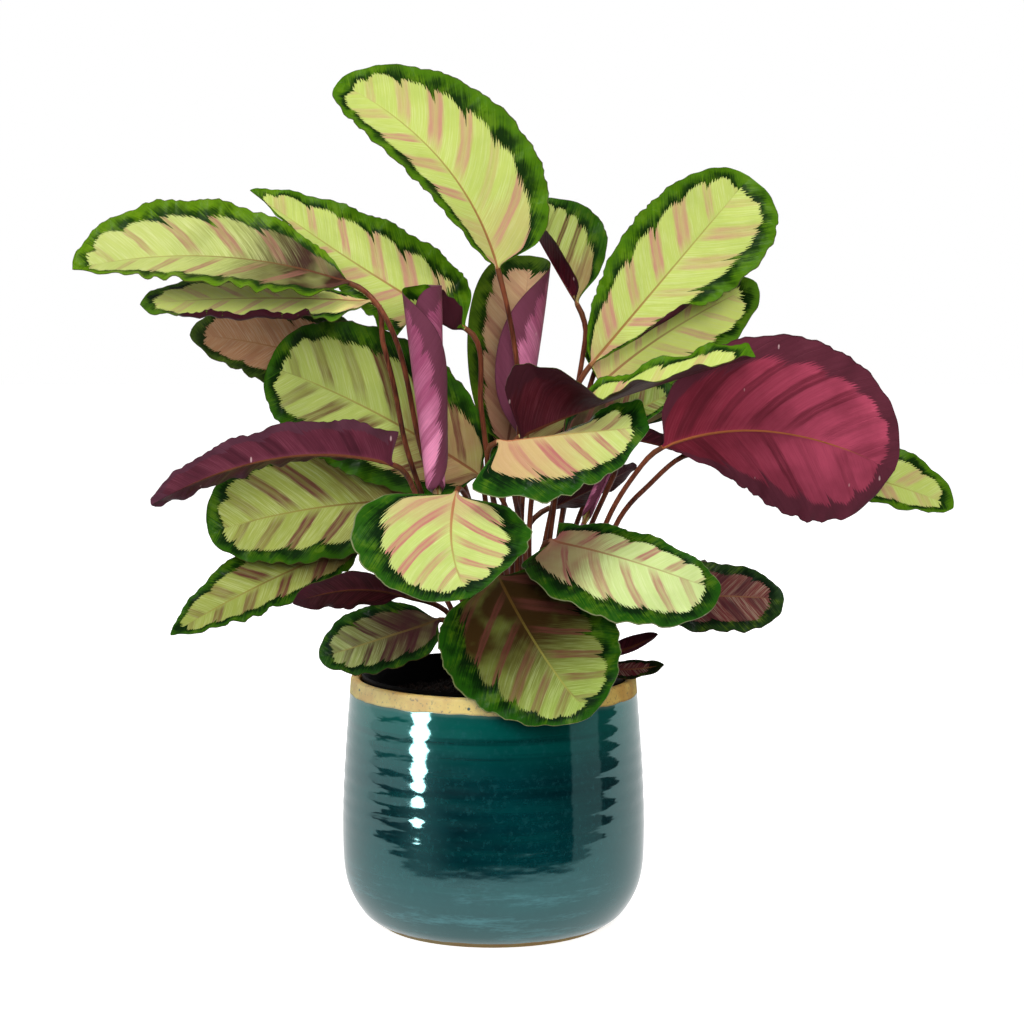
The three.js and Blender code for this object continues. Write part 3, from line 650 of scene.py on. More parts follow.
UPPER = {name: upper_material(name) for name in UPPER_TONES}
UNDER = {name: under_material(name) for name in UNDER_TONES}
STEMS = {
    "burgundy": stem_material("stem_red_brown", linear(58, 24, 18), linear(130, 70, 46), linear(106, 66, 42)),
    "young": stem_material("stem_lilac", linear(136, 74, 108), linear(190, 130, 164), linear(150, 94, 122)),
}
STEMS["magenta"] = STEMS["mauve"] = STEMS["burgundy"]


# Leaf shapes


def unit(vectors):
    return vectors / np.maximum(np.linalg.norm(vectors, axis=-1, keepdims=True), 1e-9)


def soft_turn(share):
    """From 0 to 1 without a corner at either end."""
    return share * share * (3 - 2 * share)


def crowded(share):
    """Draws even shares closer together near both ends."""
    return (share + (1 - np.cos(math.pi * share)) / 2) / 2


def midrib_frames(shape, u):
    """Points of the midrib at u, and the directions along it, out of the upper side and to the right."""
    base, mid, tip = (np.array(shape[key], float) for key in ("base", "mid", "tip"))
    control = 2 * mid - (base + tip) / 2
    u = np.asarray(u, float)[:, None]
    centre = (1 - u) ** 2 * base + 2 * u * (1 - u) * control + u * u * tip
    along = unit(2 * (1 - u) * (control - base) + 2 * u * (tip - control))
    face = np.array(shape["face"], float)
    up = unit(face - np.sum(along * face, axis=-1, keepdims=True) * along)
    return centre, along, up, np.cross(along, up)


def midrib_length(shape):
    points = midrib_frames(shape, np.linspace(0, 1, 60))[0]
    return float(np.linalg.norm(np.diff(points, axis=0), axis=1).sum())


def taper(u, ends):
    """The share of its full width that a half has at u."""
    base, tip = ends
    peak = base / (base + tip)
    return (u / peak) ** base * ((1 - u) / (1 - peak)) ** tip


def half_section(arc, width, fold, turn, roll_radius):
    """Sideways and upward place and slope of a half's cross-section, at an arc from the midrib."""
    bend = 1 / roll_radius if roll_radius is not None else turn / width
    if np.all(np.abs(bend) < 1e-9):
        return arc * np.cos(fold), arc * np.sin(fold), fold + 0 * arc
    slope = fold + bend * arc
    return (np.sin(slope) - np.sin(fold)) / bend, (np.cos(fold) - np.cos(slope)) / bend, slope


def turned_section(section, arc, width, share, turn):
    """A half's cross-section with its outer share turned up over the rest, by an angle for each row."""
    side, lift, slope = section(np.minimum(arc, (1 - share) * width))
    beyond = np.maximum(arc - (1 - share) * width, 0)
    curved = np.minimum(beyond, TURN_RADIUS * turn)
    straight = beyond - curved
    last = slope + curved / TURN_RADIUS
    side = side + TURN_RADIUS * (np.sin(last) - np.sin(slope)) + straight * np.cos(last)
    lift = lift + TURN_RADIUS * (np.cos(slope) - np.cos(last)) + straight * np.sin(last)
    return side, lift, last


def blade_section(shape, half, u, arc, width):
    """The cross-section of one half of a leaf at u: folded, then curled or rolled, and turned up if it is."""
    fold = between(np.interp(u, shape["fold_span"], (0, 1)), shape["fold"][half], shape["fold_tip"][half])
    roll = between(u, *shape["roll"][half]) if shape["roll"] else None

    def section(place):
        return half_section(place, width, np.radians(fold), math.radians(shape["curl"][half]), roll)

    if not shape["turned"] or shape["turned"][0] != half:
        return section(arc)
    _, start, end, outer = shape["turned"]
    rise = np.clip((u - start) / TURN_ONSET, 0, 1) * np.clip((end - u) / TURN_ENDING, 0, 1)
    return turned_section(section, arc, width, outer, math.radians(TURN_ANGLE) * soft_turn(rise))


def margin_reach(shape, reach, u, length):
    """How near the margin a point counts. Beyond the centre's reach it is green, also at the tip."""
    to_tip = 1 - GREEN_REACH * (1 - u) * length / TIP_MARGIN
    corner = CORNER_ROUNDING * np.exp(-((reach - to_tip) / CORNER_ROUNDING) ** 2) * (to_tip > 0.3)
    nearest = np.maximum(reach, to_tip) + corner
    if shape["green_base"]:
        nearest = np.maximum(nearest, 1 - GREEN_REACH * u * length / shape["green_base"])
    return np.where(reach > RIM_REACH, 1, np.minimum(nearest, RIM_REACH))


def blade_rows(shape, u, lines, seed):
    """Rings round the blade at u, upper side first, and the fields that its pattern follows."""
    centre, along, up, right = midrib_frames(shape, u)
    length = midrib_length(shape)
    waves = int(np.clip(round(length / WAVE_STEP), FEWEST_WAVES, MOST_WAVES))
    even = np.linspace(0, 1, 200)
    station = np.interp(u, crowded(even), even)
    opening = np.clip(u / crowded(1 / waves), 0, 1)
    relief = min(1, min(shape["width"]) / FULL_RELIEF_WIDTH)
    ruffle = relief * shape["ruffle"] * (0 if shape["roll"] else 1)
    upper, lower, fields = [], [], []
    for place in lines:
        half = 0 if place < 0 else 1
        sign = 1 if half else -1
        reach = abs(place)
        share = np.where(u < 1, taper(np.clip(u, 0, 1 - 1e-6), shape["ends"][half]), 0)
        width = np.maximum(shape["width"][half] * share, TIP_HALF_WIDTH)
        phase = 2 * math.pi * u * length / RUFFLE_STEP
        phase = phase + 1.4 * np.sin(phase * 0.23 + seed + 2 * half) + seed + 3 * half
        scallop = np.abs(np.sin(phase / 2)) - 0.6 + 0.22 * np.sin(2.3 * phase + seed)
        arc = reach * width + SCALLOP_DEPTH * ruffle * scallop * np.sqrt(share) * reach ** 3
        side, lift, slope = blade_section(shape, half, u, arc, width)
        if place == 0:
            slope = 0 * u
        wave = -shape["wave"] * np.cos(math.pi * (waves * station + half)) * reach ** 2.5 * np.sqrt(share)
        crinkle = RUFFLE_LIFT * ruffle * np.cos(phase) * reach ** 4 * np.sqrt(share)
        run = u * length - VEIN_SLANT * arc - VEIN_SWEEP * arc ** 2
        ribs = run / (shape["rib_spacing"] * length) + RIB_SHIFT * half + seed
        pleat = PLEAT_DEPTH * (0.6 - np.abs(np.cos(math.pi * ribs)) ** 3)
        pleat = pleat + SMALL_PLEAT_DEPTH * (1 - 2 * np.abs(np.sin(math.pi * ribs * SMALL_PLEATS_PER_RIB)))
        pleat = pleat * reach * (1.3 - reach) * relief * shape["pleated"]
        if shape["roll"]:
            wave, crinkle, pleat = 0, 0, pleat * ROLLED_PLEATS
        back = shape["lobe"][half] * reach ** 1.5 * (1 - u) ** 4 * opening
        middle = (centre + (sign * side)[:, None] * right + (lift + wave + crinkle + pleat)[:, None] * up
                  - back[:, None] * along)
        outward = np.cos(slope)[:, None] * up - (sign * np.sin(slope))[:, None] * right
        at_midrib = np.exp(-(arc / RIB_HALF_WIDTH) ** 2)
        groove = GROOVE_DEPTH * (1 - u) * at_midrib
        rib = RIB_DEPTH * (1 - u) * at_midrib
        upper.append(middle + (BLADE_THICKNESS / 2 - groove)[:, None] * outward)
        lower.append(middle - (BLADE_THICKNESS / 2 + rib)[:, None] * outward)
        nearest = margin_reach(shape, reach, u, length)
        fields.append(np.stack([run, ribs, nearest, sign * (arc + 0.01), u], -1))
    rings = np.stack(upper + lower[::-1], 1)
    stalk = round_rings(centre, right, up, np.full(len(u), STEM_TOP_RADIUS), len(lines))
    return between(soft_turn(opening)[:, None, None], stalk, rings), np.stack(fields + fields[::-1], 1)


def round_rings(centre, right, up, radius, line_count):
    step = math.pi / line_count
    angle = math.pi - step / 2 - step * np.arange(2 * line_count)
    across = np.cos(angle)[None, :, None] * right[:, None, :]
    raised = np.sin(angle)[None, :, None] * up[:, None, :]
    return centre[:, None, :] + radius[:, None, None] * (across + raised)


def stem_line(shape):
    """Points down the middle of the stem, evenly spaced, and how far each lies from the blade."""
    points = [np.array(p, float) for p in ((*shape["root"], SOIL_CROWN), *shape["via"], shape["base"])]
    last = len(points) - 1
    tangents = []
    for i in range(last):
        lean = unit(points[i + 1] - points[max(i - 1, 0)])
        tangents.append(unit(0.4 * lean + np.array([0, 0, 1.0])) if i == 0 else lean)
    tangents.append(midrib_frames(shape, [0.0])[1][0])
    t = np.linspace(0, 1, 60)[:, None]
    stretches = []
    for i in range(last):
        reach = np.linalg.norm(points[i + 1] - points[i]) / 3
        end_reach = reach * shape["handle"] if i == last - 1 else reach
        one, two = points[i] + reach * tangents[i], points[i + 1] - end_reach * tangents[i + 1]
        curve = ((1 - t) ** 3 * points[i] + 3 * t * (1 - t) ** 2 * one
                 + 3 * t * t * (1 - t) * two + t ** 3 * points[i + 1])
        stretches.append(curve[1:] if i else curve)
    fine = np.concatenate(stretches)
    covered = np.concatenate([[0], np.cumsum(np.linalg.norm(np.diff(fine, axis=0), axis=1))])
    places = np.linspace(0, covered[-1], max(4, round(covered[-1] / STEM_STEP)) + 1)
    return np.stack([np.interp(places, covered, fine[:, k]) for k in range(3)], -1), covered[-1] - places


def stem_rings(shape, line_count):
    """Rings up the stem, whose turn is carried down from the blade's own frame."""
    line, to_blade = stem_line(shape)
    _, along, _, right = midrib_frames(shape, [0.0])
    directions = unit(np.gradient(line, axis=0))
    directions[-1] = along[0]
    carried = right[0]
    rights = np.zeros_like(line)
    for i in range(len(line) - 1, -1, -1):
        carried = unit(carried - np.dot(carried, directions[i]) * directions[i])
        rights[i] = carried
    radius = between(np.linspace(0, 1, len(line)), STEM_ROOT_RADIUS, STEM_TOP_RADIUS)
    radius = radius + JOINT_SWELL * np.exp(-((to_blade - JOINT_LENGTH / 2) / (JOINT_LENGTH / 2)) ** 2)
    foot = np.array([[*shape["root"], SOIL_EDGE - STEM_DEPTH]], float)
    flat_right = unit(np.array([[carried[0], carried[1], 0.0]]))
    flat_up = np.cross(flat_right, np.array([[0, 0, 1.0]]))
    bottom = round_rings(foot, flat_right, flat_up, np.array([STEM_ROOT_RADIUS]), line_count)
    upright = round_rings(line, rights, np.cross(rights, directions), radius, line_count)
    return np.concatenate([bottom, upright]), np.concatenate([[to_blade[0] + STEM_DEPTH], to_blade])


def ring_faces(ring_count, count):
    """Quads of a closed skin over rings of points, with its two ends, and each one's place in its ring."""
    ring, step = np.meshgrid(np.arange(ring_count - 1), np.arange(count), indexing="ij")
    a = (ring * count + step).ravel()
    b = (ring * count + (step + 1) % count).ravel()
    sides = np.stack([a, b, b + count, a + count], -1)
    j = np.arange(count // 2 - 1)
    end = (ring_count - 1) * count
    foot = np.stack([j, count - 1 - j, count - 2 - j, j + 1], -1)
    tip = np.stack([end + j, end + j + 1, end + count - 2 - j, end + count - 1 - j], -1)
    return sides, foot, tip, ring.ravel(), step.ravel()


def add_object(name, data):
    made = bpy.data.objects.new(name, data)
    bpy.context.scene.collection.objects.link(made)
    return made


def new_piece(name, points, faces, materials, indices=None):
    """A mesh in metres from points in millimetres, riding on the part."""
    mesh = bpy.data.meshes.new(name)
    mesh.from_pydata((points * MM).tolist(), [], faces)
    for material in materials:
        mesh.materials.append(material)
    if indices is not None:
        mesh.polygons.foreach_set("material_index", indices)
    mesh.shade_smooth()
    mesh.set_sharp_from_angle(angle=SHARP_ANGLE)
    mesh.update()
    piece = add_object(name, mesh)
    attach(piece, "root")
    return piece


def grow_leaf(shape, seed):
    half_lines = shape.get("half_lines", ROLLED_HALF_LINES if shape["roll"] else HALF_LINES)
    steps = (np.arange(1, half_lines + 1) / half_lines) ** LINE_CROWDING
    lines = np.concatenate([-steps[::-1], [0.0], steps])
    around = 2 * len(lines)
    rows = int(np.clip(midrib_length(shape) / ROW_STEP, FEWEST_ROWS, MOST_ROWS))
    u = crowded(np.linspace(0, 1, rows + 1)[1:])
    stem, to_blade = stem_rings(shape, len(lines))
    blade, values = blade_rows(shape, u, lines, seed)
    rings = np.concatenate([stem, blade])
    stem_values = np.zeros((len(stem), around, len(FIELDS)))
    stem_values[:, :, 0] = -to_blade[:, None]
    fields = np.concatenate([stem_values, values]).reshape(-1, len(FIELDS))
    sides, foot, tip, ring, step = ring_faces(len(rings), around)
    # Materials by place: 0 the upper side, 1 the lower side, 2 the stem.
    index = np.where(step < len(lines), 0, 1)
    index[step == around - 1] = 0
    index[ring < len(stem) - 1] = 2
    index = np.concatenate([index, np.full(len(foot), 2), np.zeros(len(tip), int)])
    faces = np.concatenate([sides, foot, tip]).tolist()
    materials = [UPPER[shape["tone"]], UNDER[shape["under"]], STEMS[shape["under"]]]
    piece = new_piece("fine_" + shape["name"], rings.reshape(-1, 3), faces, materials, index)
    for k, name in enumerate(FIELDS):
        layer = piece.data.attributes.new(name, "FLOAT", "POINT")
        layer.data.foreach_set("value", fields[:, k].astype(np.float32))
    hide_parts(shape["name"])


for number, shape in enumerate(LEAVES):
    grow_leaf(shape, number)


# Turned pieces


def turned_piece(name, profile, segments, material, ripple=None):
    """A closed solid of revolution from [radius, height] points that start and end on the axis."""
    profile = np.array(profile, float)
    angle = np.linspace(0, 2 * math.pi, segments, endpoint=False)
    radius, height = profile[1:-1, :1], profile[1:-1, 1:]
    radius = radius + (ripple(height, angle[None, :]) if ripple else 0 * angle)
    rings = np.stack([radius * np.cos(angle), radius * np.sin(angle), np.repeat(height, segments, 1)], -1)
    points = np.concatenate([rings.reshape(-1, 3), [[0, 0, profile[0, 1]], [0, 0, profile[-1, 1]]]])
    last = (len(height) - 1) * segments
    after = [(k + 1) % segments for k in range(segments)]
    faces = [(i + k, i + n, i + segments + n, i + segments + k)
             for i in range(0, last, segments) for k, n in enumerate(after)]
    for k, n in enumerate(after):
        faces += [(last + segments, n, k), (last + segments + 1, last + k, last + n)]
    return new_piece(name, points, faces, [material])


def through(points, count):
    """Evenly counted points of a smooth curve through the given ones."""
    points = np.array(points, float)
    ends = np.concatenate([points[:1], points, points[-1:]])
    result = []
    for place in np.linspace(0, len(points) - 1, count):
        i = min(int(place), len(points) - 2)
        t = place - i
        p0, p1, p2, p3 = ends[i:i + 4]
        v0, v1 = (p2 - p0) / 2, (p3 - p1) / 2
        result.append((2 * p1 - 2 * p2 + v0 + v1) * t ** 3 + (3 * p2 - 3 * p1 - 2 * v0 - v1) * t ** 2
                      + v0 * t + p1)
    return result


def arc_points(centre, radius, start, end, count):
    angles = np.radians(np.linspace(start, end, count))
    return [(centre[0] + radius * math.cos(a), centre[1] + radius * math.sin(a)) for a in angles]


def throwing_rings(height, angle):
    """How far the potter's rings stand out, which fade near the foot and the rim and drift around the pot."""
    inside = np.clip((height - RING_LOW) / RING_FADE_LOW, 0, 1)
    inside = inside * np.clip((RING_HIGH - height) / RING_FADE_HIGH, 0, 1)
    turn = 2 * math.pi * height / RING_PITCH + 0.9 * np.sin(angle + 1) + 0.5 * np.sin(3 * angle + height / 9)
    fainter = 0.75 + 0.25 * np.sin(2 * angle + height / 13)
    small = 0.3 * np.cos(2.6 * turn + 2 * np.sin(2 * angle))
    return RING_DEPTH * inside * fainter * (np.cos(turn) + small) + 0.15 * np.sin(2 * angle + height / 40)


def glaze_material():
    """Dark teal glaze over tan clay, bare at the rim and the foot, with painted shade and reflection on its
    rings and painted reflection near the foot.
    """
    material, tree, surface = new_material("teal_glaze_on_clay")
    place = object_place(tree)
    height = field_node("ShaderNodeSeparateXYZ", {0: place}, output=2)
    drifted = (noise(place, 55.0, 3.0) - 0.5) * (2.6 * MM) + height
    rim_low = (POT_HEIGHT - BARE_RIM) * MM
    below_rim = smooth_step(drifted, rim_low + 0.25 * MM, rim_low - 0.25 * MM)
    glazed = below_rim * smooth_step(drifted, (BARE_FOOT - 0.3) * MM, (BARE_FOOT + 0.3) * MM)

    pooled = smooth_step(noise(place, 14.0, 4.0, 0.6), 0.3, 0.7)
    glaze = blend(pooled, linear(0, 33, 40), linear(0, 58, 63))
    glaze = blend(smooth_step(height, 108 * MM, 156 * MM) * 0.85, glaze, linear(0, 98, 88))
    # Lighter bands round the pot: glaze streaks, and painted reflection along the throwing rings.
    bands = smooth_step(noise(mapped(place, (8.0, 8.0, 160.0)), 1.0, 4.0, 0.6), 0.4, 0.75)
    glaze = blend(bands * 0.45, glaze, linear(4, 78, 76))
    # Darker lines round the pot: painted shade along the throwing rings.
    ring_shade = smooth_step(noise(mapped(place, (3.0, 3.0, 115.0)), 1.0, 3.0, 0.6), 0.5, 0.68)
    ring_shade = ring_shade * smooth_step(height, 60 * MM, 90 * MM)
    glaze = blend(ring_shade * 0.55, glaze, linear(0, 26, 34))
    fine = smooth_step(noise(place, 300.0, 3.0), 0.5, 0.8)
    glaze = blend(fine * 0.32, glaze, linear(40, 100, 104))
    thin = smooth_step(drifted, rim_low - 3 * MM, rim_low)
    glaze = blend(thin * 0.6, glaze, linear(96, 128, 118))
    # Greyer blue towards the foot, with pale streaks: painted reflection of the pale floor.
    low = smooth_step(height, 62 * MM, 20 * MM)
    glaze = blend(low * 0.55, glaze, linear(58, 84, 90))
    floor_reflection_streaks = smooth_step(noise(mapped(place, (14.0, 14.0, 90.0)), 1.0, 6.0, 0.75), 0.5, 0.7)
    glaze = blend(floor_reflection_streaks * (low * 0.85), glaze, linear(88, 144, 152))

    grain = noise(place, 420.0, 4.0, 0.65)
    blotch = smooth_step(noise(place, 60.0, 3.0), 0.35, 0.65)
    clay = blend(blotch, linear(224, 170, 74), linear(242, 204, 102))
    clay = blend(smooth_step(grain, 0.54, 0.74), clay, linear(150, 106, 58))
    seam = smooth_step(drifted, rim_low + 1.4 * MM, rim_low)
    clay = blend(seam * 0.45, clay, linear(150, 92, 44))
    clay = blend(specks(place, 130.0, 0.16, 0.1, 0.07), clay, linear(44, 34, 26))

    swell = smooth_step(height, 52 * MM, 84 * MM) * 1.5 + 0.7
    ripples = noise(mapped(place, (40.0, 40.0, 110.0)), 1.0, 2.0) * swell
    relief = glazed * 1.5 + blend_value(glazed, grain, ripples)
    fill_inputs(surface, {
        "Base Color": blend(glazed, clay, glaze),
        "Roughness": blend_value(glazed, 0.8, 0.07),
        "Normal": bumped(relief, 0.2, 0.6),
        "IOR": GLAZE_IOR,
        "Specular Tint": GLAZE_MIRROR_TINT,
    })
    return material


def plastic_material():
    """Black moulded plastic with faint scuffs."""
    material, tree, surface = new_material("black_growing_pot_plastic")
    scuffs = noise(mapped(object_place(tree), (40, 40, 400)), 1.0, 4.0)
    fill_inputs(surface, {
        "Base Color": blend(smooth_step(scuffs, 0.5, 0.8), linear(3, 3, 3), linear(9, 9, 10)),
        "Roughness": scuffs * 0.3 + 0.45,
        "Specular IOR Level": 0.12,
        "Normal": bumped(scuffs, 0.1, 0.4),
    })
    return material


def soil_material():
    """Dark, damp soil with browner bits of bark."""
    material, tree, surface = new_material("dark_growing_soil")
    place = object_place(tree)
    lump, centre = cells(place, 260.0)
    damp = smooth_step(noise(place, 40.0, 4.0), 0.35, 0.7)
    bark = smooth_step(random_of(centre), 0.8, 1.0)
    fill_inputs(surface, {
        "Base Color": blend(bark, blend(damp, linear(8, 6, 5), linear(20, 14, 11)), linear(36, 25, 19)),
        "Roughness": 0.92,
        "Normal": bumped(noise(place, 900.0, 3.0) * 0.5 + lump, 1.2, 0.8),
    })
    return material


def make_pot():
    """The glazed pot, turned from its foot up the wall, over the lip and down the inside."""
    rounding = POT_HEIGHT - RIM_ROUNDING
    inner_rim = RIM_RADIUS - POT_WALL
    wall = through([(FOOT_RADIUS, 0), (88, 10), (HIP_RADIUS, 30), (BELLY_RADIUS, BELLY_HEIGHT),
                    (SHOULDER_RADIUS, SHOULDER_HEIGHT), (RIM_RADIUS, rounding)], 130)
    lip = arc_points((RIM_RADIUS - RIM_ROUNDING, rounding), RIM_ROUNDING, 10, 90, 7)
    lip += arc_points((inner_rim + RIM_ROUNDING, rounding), RIM_ROUNDING, 90, 180, 8)
    inside = through([(inner_rim, POT_HEIGHT - 4), (SHOULDER_RADIUS - POT_WALL, SHOULDER_HEIGHT),
                      (BELLY_RADIUS - POT_WALL, BELLY_HEIGHT), (HIP_RADIUS - POT_WALL, 32), (80, 15),
                      (70, POT_FLOOR)], 60)
    profile = [(0, 0), (FOOT_RADIUS - 0.6, 0), *wall[1:], *lip, *inside, (0, POT_FLOOR)]
    pot = turned_piece("glazed_pot", profile, POT_SEGMENTS, glaze_material(), throwing_rings)
    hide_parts("pot")
    return pot


def make_growing_pot():
    """The thin black pot that holds the soil, with its rolled lip."""
    bottom = POT_FLOOR + SEAT_GAP
    lip_foot = NURSERY_TOP - NURSERY_LIP_DROP
    lip = NURSERY_LIP_RADIUS
    half = NURSERY_WALL / 2
    outside = [(NURSERY_FOOT_RADIUS - 1, bottom), (NURSERY_FOOT_RADIUS, bottom + 1),
               (NURSERY_NECK_RADIUS, lip_foot - 0.6), (lip - 0.6, lip_foot), (lip, lip_foot + 0.6)]
    rolled = arc_points((lip - half, NURSERY_TOP - half), half, 0, 180, 9)
    inside = [(NURSERY_NECK_RADIUS - NURSERY_WALL, lip_foot),
              (NURSERY_FOOT_RADIUS - NURSERY_WALL, bottom + NURSERY_FLOOR)]
    profile = [(0, bottom), *outside, *rolled, *inside, (0, bottom + NURSERY_FLOOR)]
    pot = turned_piece("black_growing_pot", profile, NURSERY_SEGMENTS, plastic_material())
    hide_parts("nursery_pot")


def crumb_tree(material):
    """Scatters small lumps over a surface: density, size and seed are its inputs."""
    tree = bpy.data.node_groups.new("soil_crumbs", "GeometryNodeTree")
    tree.interface.new_socket(name="Geometry", in_out="OUTPUT", socket_type="NodeSocketGeometry")
    kinds = {"Geometry": "Geometry", "Density": "Float", "Crumb size": "Float", "Seed": "Int"}
    sockets = {
        label: tree.interface.new_socket(name=label, in_out="INPUT", socket_type="NodeSocket" + kind)
        for label, kind in kinds.items()
    }
    given = tree.nodes.new("NodeGroupInput").outputs
    surface, density, size, seed = (Field(given[label]) for label in kinds)
    points = field_node("GeometryNodeDistributePointsOnFaces",
                        {"Mesh": surface, "Seed": seed, "Density": density})
    lump = field_node("GeometryNodeMeshIcoSphere", {"Radius": size, "Subdivisions": 1})
    turn, grow = (
        field_node("FunctionNodeRandomValue", {0: least, 1: most, "Seed": seed}, data_type="FLOAT_VECTOR")
        for least, most in (((0, 0, 0), (6.28, 6.28, 6.28)), ((0.35, 0.35, 0.25), (1.6, 1.2, 0.9))))
    placed = field_node("GeometryNodeInstanceOnPoints",
                        {"Points": points, "Instance": lump, "Rotation": turn, "Scale": grow})
    real = field_node("GeometryNodeRealizeInstances", {"Geometry": placed})
    finished = field_node("GeometryNodeSetMaterial", {"Geometry": real, "Material": material})
    fill_inputs(tree.nodes.new("NodeGroupOutput"), {"Geometry": finished})
    return tree, sockets


def make_soil():
    """The CAD node keeps its shape and gets its material, and crumbs lie over its surface."""
    earth = soil_material()
    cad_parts["soil"].data.materials.clear()
    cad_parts["soil"].data.materials.append(earth)
    angle = np.linspace(0, 2 * math.pi, SOIL_SEGMENTS, endpoint=False)
    circles = ((SOIL_RADIUS, SOIL_EDGE + 0.6), (SOIL_CROWN_RADIUS, SOIL_CROWN))
    points = [(radius * math.cos(a), radius * math.sin(a), height)
              for radius, height in circles for a in angle]
    after = [(k + 1) % SOIL_SEGMENTS for k in range(SOIL_SEGMENTS)]
    faces = [(k, n, SOIL_SEGMENTS + n, SOIL_SEGMENTS + k) for k, n in enumerate(after)]
    faces.append(tuple(range(SOIL_SEGMENTS, 2 * SOIL_SEGMENTS)))
    mesh = bpy.data.meshes.new("soil_surface")
    mesh.from_pydata((np.array(points) * MM).tolist(), [], faces)
    surface = add_object("soil_surface", mesh)
    tree, sockets = crumb_tree(earth)
    modifier = surface.modifiers.new("crumbs", "NODES")
    modifier.node_group = tree
    modifier[sockets["Density"].identifier] = float(CRUMB_DENSITY)
    modifier[sockets["Crumb size"].identifier] = CRUMB_SIZE * MM
    modifier[sockets["Seed"].identifier] = CRUMB_SEED
    bpy.context.view_layer.update()
    evaluated = surface.evaluated_get(bpy.context.evaluated_depsgraph_get())
    crumbs = add_object("soil_crumbs", bpy.data.meshes.new_from_object(evaluated))
    bpy.data.objects.remove(surface)
    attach(crumbs, "root")


glazed_pot = make_pot()
make_growing_pot()
make_soil()


# Studio


def make_floor():
    half = FLOOR_SIZE / 2
    mesh = bpy.data.meshes.new("studio_floor")
    corners = [(-half, -half, 0), (half, -half, 0), (half, half, 0), (-half, half, 0)]
    mesh.from_pydata(corners, [], [(0, 1, 2, 3)])
    floor = add_object("studio_floor", mesh)
    material, _, surface = new_material("studio_white")
    fill_inputs(surface, {"Base Color": (0.85, 0.85, 0.85, 1), "Roughness": 0.9,
                          "Emission Color": (1, 1, 1, 1), "Emission Strength": 0.8})
    mesh.materials.append(material)
    floor.visible_glossy = False
    floor.visible_diffuse = False


def soft_light(name, place, size, power, target=PLANT_MIDDLE, shines=True, mirrored=True, only_on=None):
    """An oval light that may only shine or only be mirrored, and may fall on a single piece."""
    data = bpy.data.lights.new(name, "AREA")
    data.shape = "ELLIPSE"
    data.size, data.size_y = size
    data.energy = power
    light = add_object(name, data)
    light.location = place
    light.rotation_euler = (Vector(target) - Vector(place)).to_track_quat("-Z", "Y").to_euler()
    light.visible_diffuse = shines
    light.visible_glossy = mirrored
    if only_on is not None:
        receivers = bpy.data.collections.new(name + "_receivers")
        receivers.objects.link(only_on)
        light.light_linking.receiver_collection = receivers


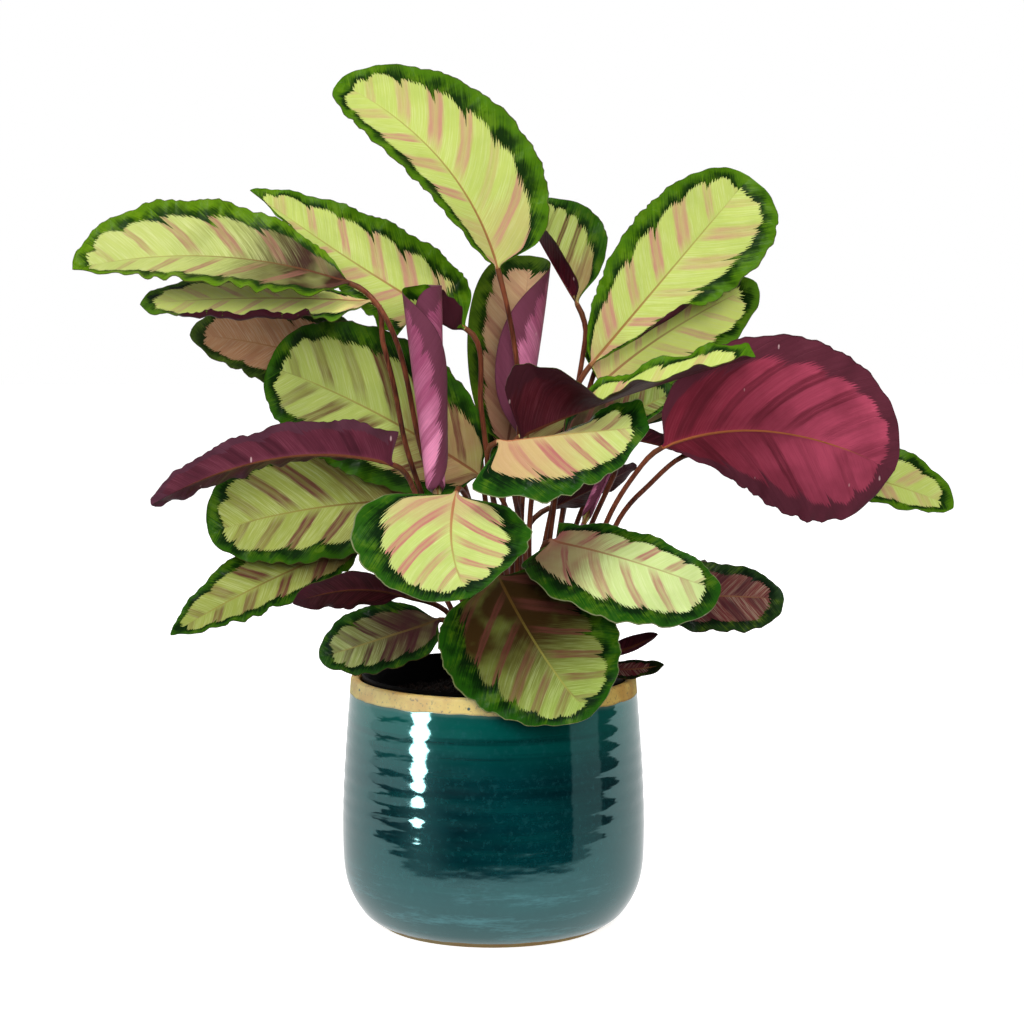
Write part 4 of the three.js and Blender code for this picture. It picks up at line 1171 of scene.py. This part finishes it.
def make_world():
    """A white room with a dark side in front, where the camera stands, as the glaze mirrors it."""
    world = bpy.data.worlds.new("studio")
    bpy.context.scene.world = world
    world.use_nodes = True
    tree = world.node_tree
    direction = Field(add_node(tree, "ShaderNodeTexCoord").outputs["Generated"])
    x, y, z = map(Field, add_node(tree, "ShaderNodeSeparateXYZ", {0: direction}).outputs)
    # The bearing is in degrees from straight in front, growing to the right. z is the sine of the height.
    bearing = maths("ARCTAN2", x, y * -1.0) * (180 / math.pi)

    def patch(left, right, low, high):
        across = smooth_step(bearing, left - 1, left + 1) * smooth_step(bearing, right + 1, right - 1)
        upright = smooth_step(z, low - 0.012, low + 0.012) * smooth_step(z, high + 0.012, high - 0.012)
        return across * upright

    left_wall = 1.0 - smooth_step(bearing, -115.0, -113.0)
    right_wall = smooth_step(bearing, 61.0, 63.0) * (smooth_step(bearing, 121.0, 124.0) * 0.55 + 0.35)
    doorway = patch(90, 121, -0.28, 0.1) * 0.3
    haze = (bearing + 56.0) * 0.055
    haze = maths("EXPONENT", haze * haze * -1.0) * 0.3
    left_glints = maths("MAXIMUM", patch(-114, -66, -0.12, 0.4) * 0.8, haze)
    walls = maths("MAXIMUM", left_wall + right_wall - doorway, left_glints)
    sideways = maths("POWER", maths("DIVIDE", maths("ABSOLUTE", bearing), 90.0), 4.0)
    below = smooth_step(z - (sideways * 0.09 + FLOOR_EDGE), 0.01, -0.01)
    faint = smooth_step(bearing, 12.0, -48.0) * smooth_step(z, -0.26, 0.02) * FRONT_GLOW + DARK_FRONT
    mirrored = maths("MAXIMUM", maths("MAXIMUM", walls, below), faint)
    mirrored = blend_value(smooth_step(z, 0.1, 0.3), mirrored, SHEEN_ABOVE)
    scattered = blend_value(smooth_step(z, -0.3, 0.3), AMBIENT_BELOW, AMBIENT_ABOVE)
    path = add_node(tree, "ShaderNodeLightPath").outputs
    strength = blend_value(Field(path["Is Diffuse Ray"]), mirrored, scattered)
    strength = blend_value(Field(path["Is Camera Ray"]), strength, 1.0)
    fill_inputs(tree.nodes["Background"], {"Strength": strength, "Color": (1, 1, 1, 1)})


def make_camera():
    """The camera of the photograph, as fitted to the pot's rim, foot and belly."""
    data = bpy.data.cameras.new("camera")
    data.sensor_width = SENSOR_WIDTH
    data.lens = FOCAL_PIXELS / IMAGE_PIXELS * SENSOR_WIDTH
    data.clip_end = 50
    camera = add_object("camera", data)
    camera.location = CAMERA_PLACE
    camera.rotation_euler = Euler((math.pi / 2 - CAMERA_PITCH, 0, 0))
    bpy.context.scene.camera = camera


make_camera()
make_world()
make_floor()
soft_light("window_left", (-1.09, -0.71, 0.73), (0.54, 1.66), 48, target=(0, 0, 0.73), shines=False,
           only_on=glazed_pot)
soft_light("glow_left", (-1.3, -1.1, 1.1), (0.7, 0.9), 11, target=(0, 0, 0.4), mirrored=False)
soft_light("front", (0.25, -2.2, 0.95), (0.9, 0.9), 24.5, mirrored=False)
soft_light("overhead", (0.05, -0.7, 1.9), (0.8, 0.8), 13, mirrored=False)
soft_light("behind", (0.6, 2.2, 1.3), (0.9, 0.9), 9, mirrored=False)
soft_light("glint", (-0.3, -1.0, 1.7), (0.25, 0.25), 4, shines=False)
bpy.context.scene.view_settings.view_transform = "Standard"
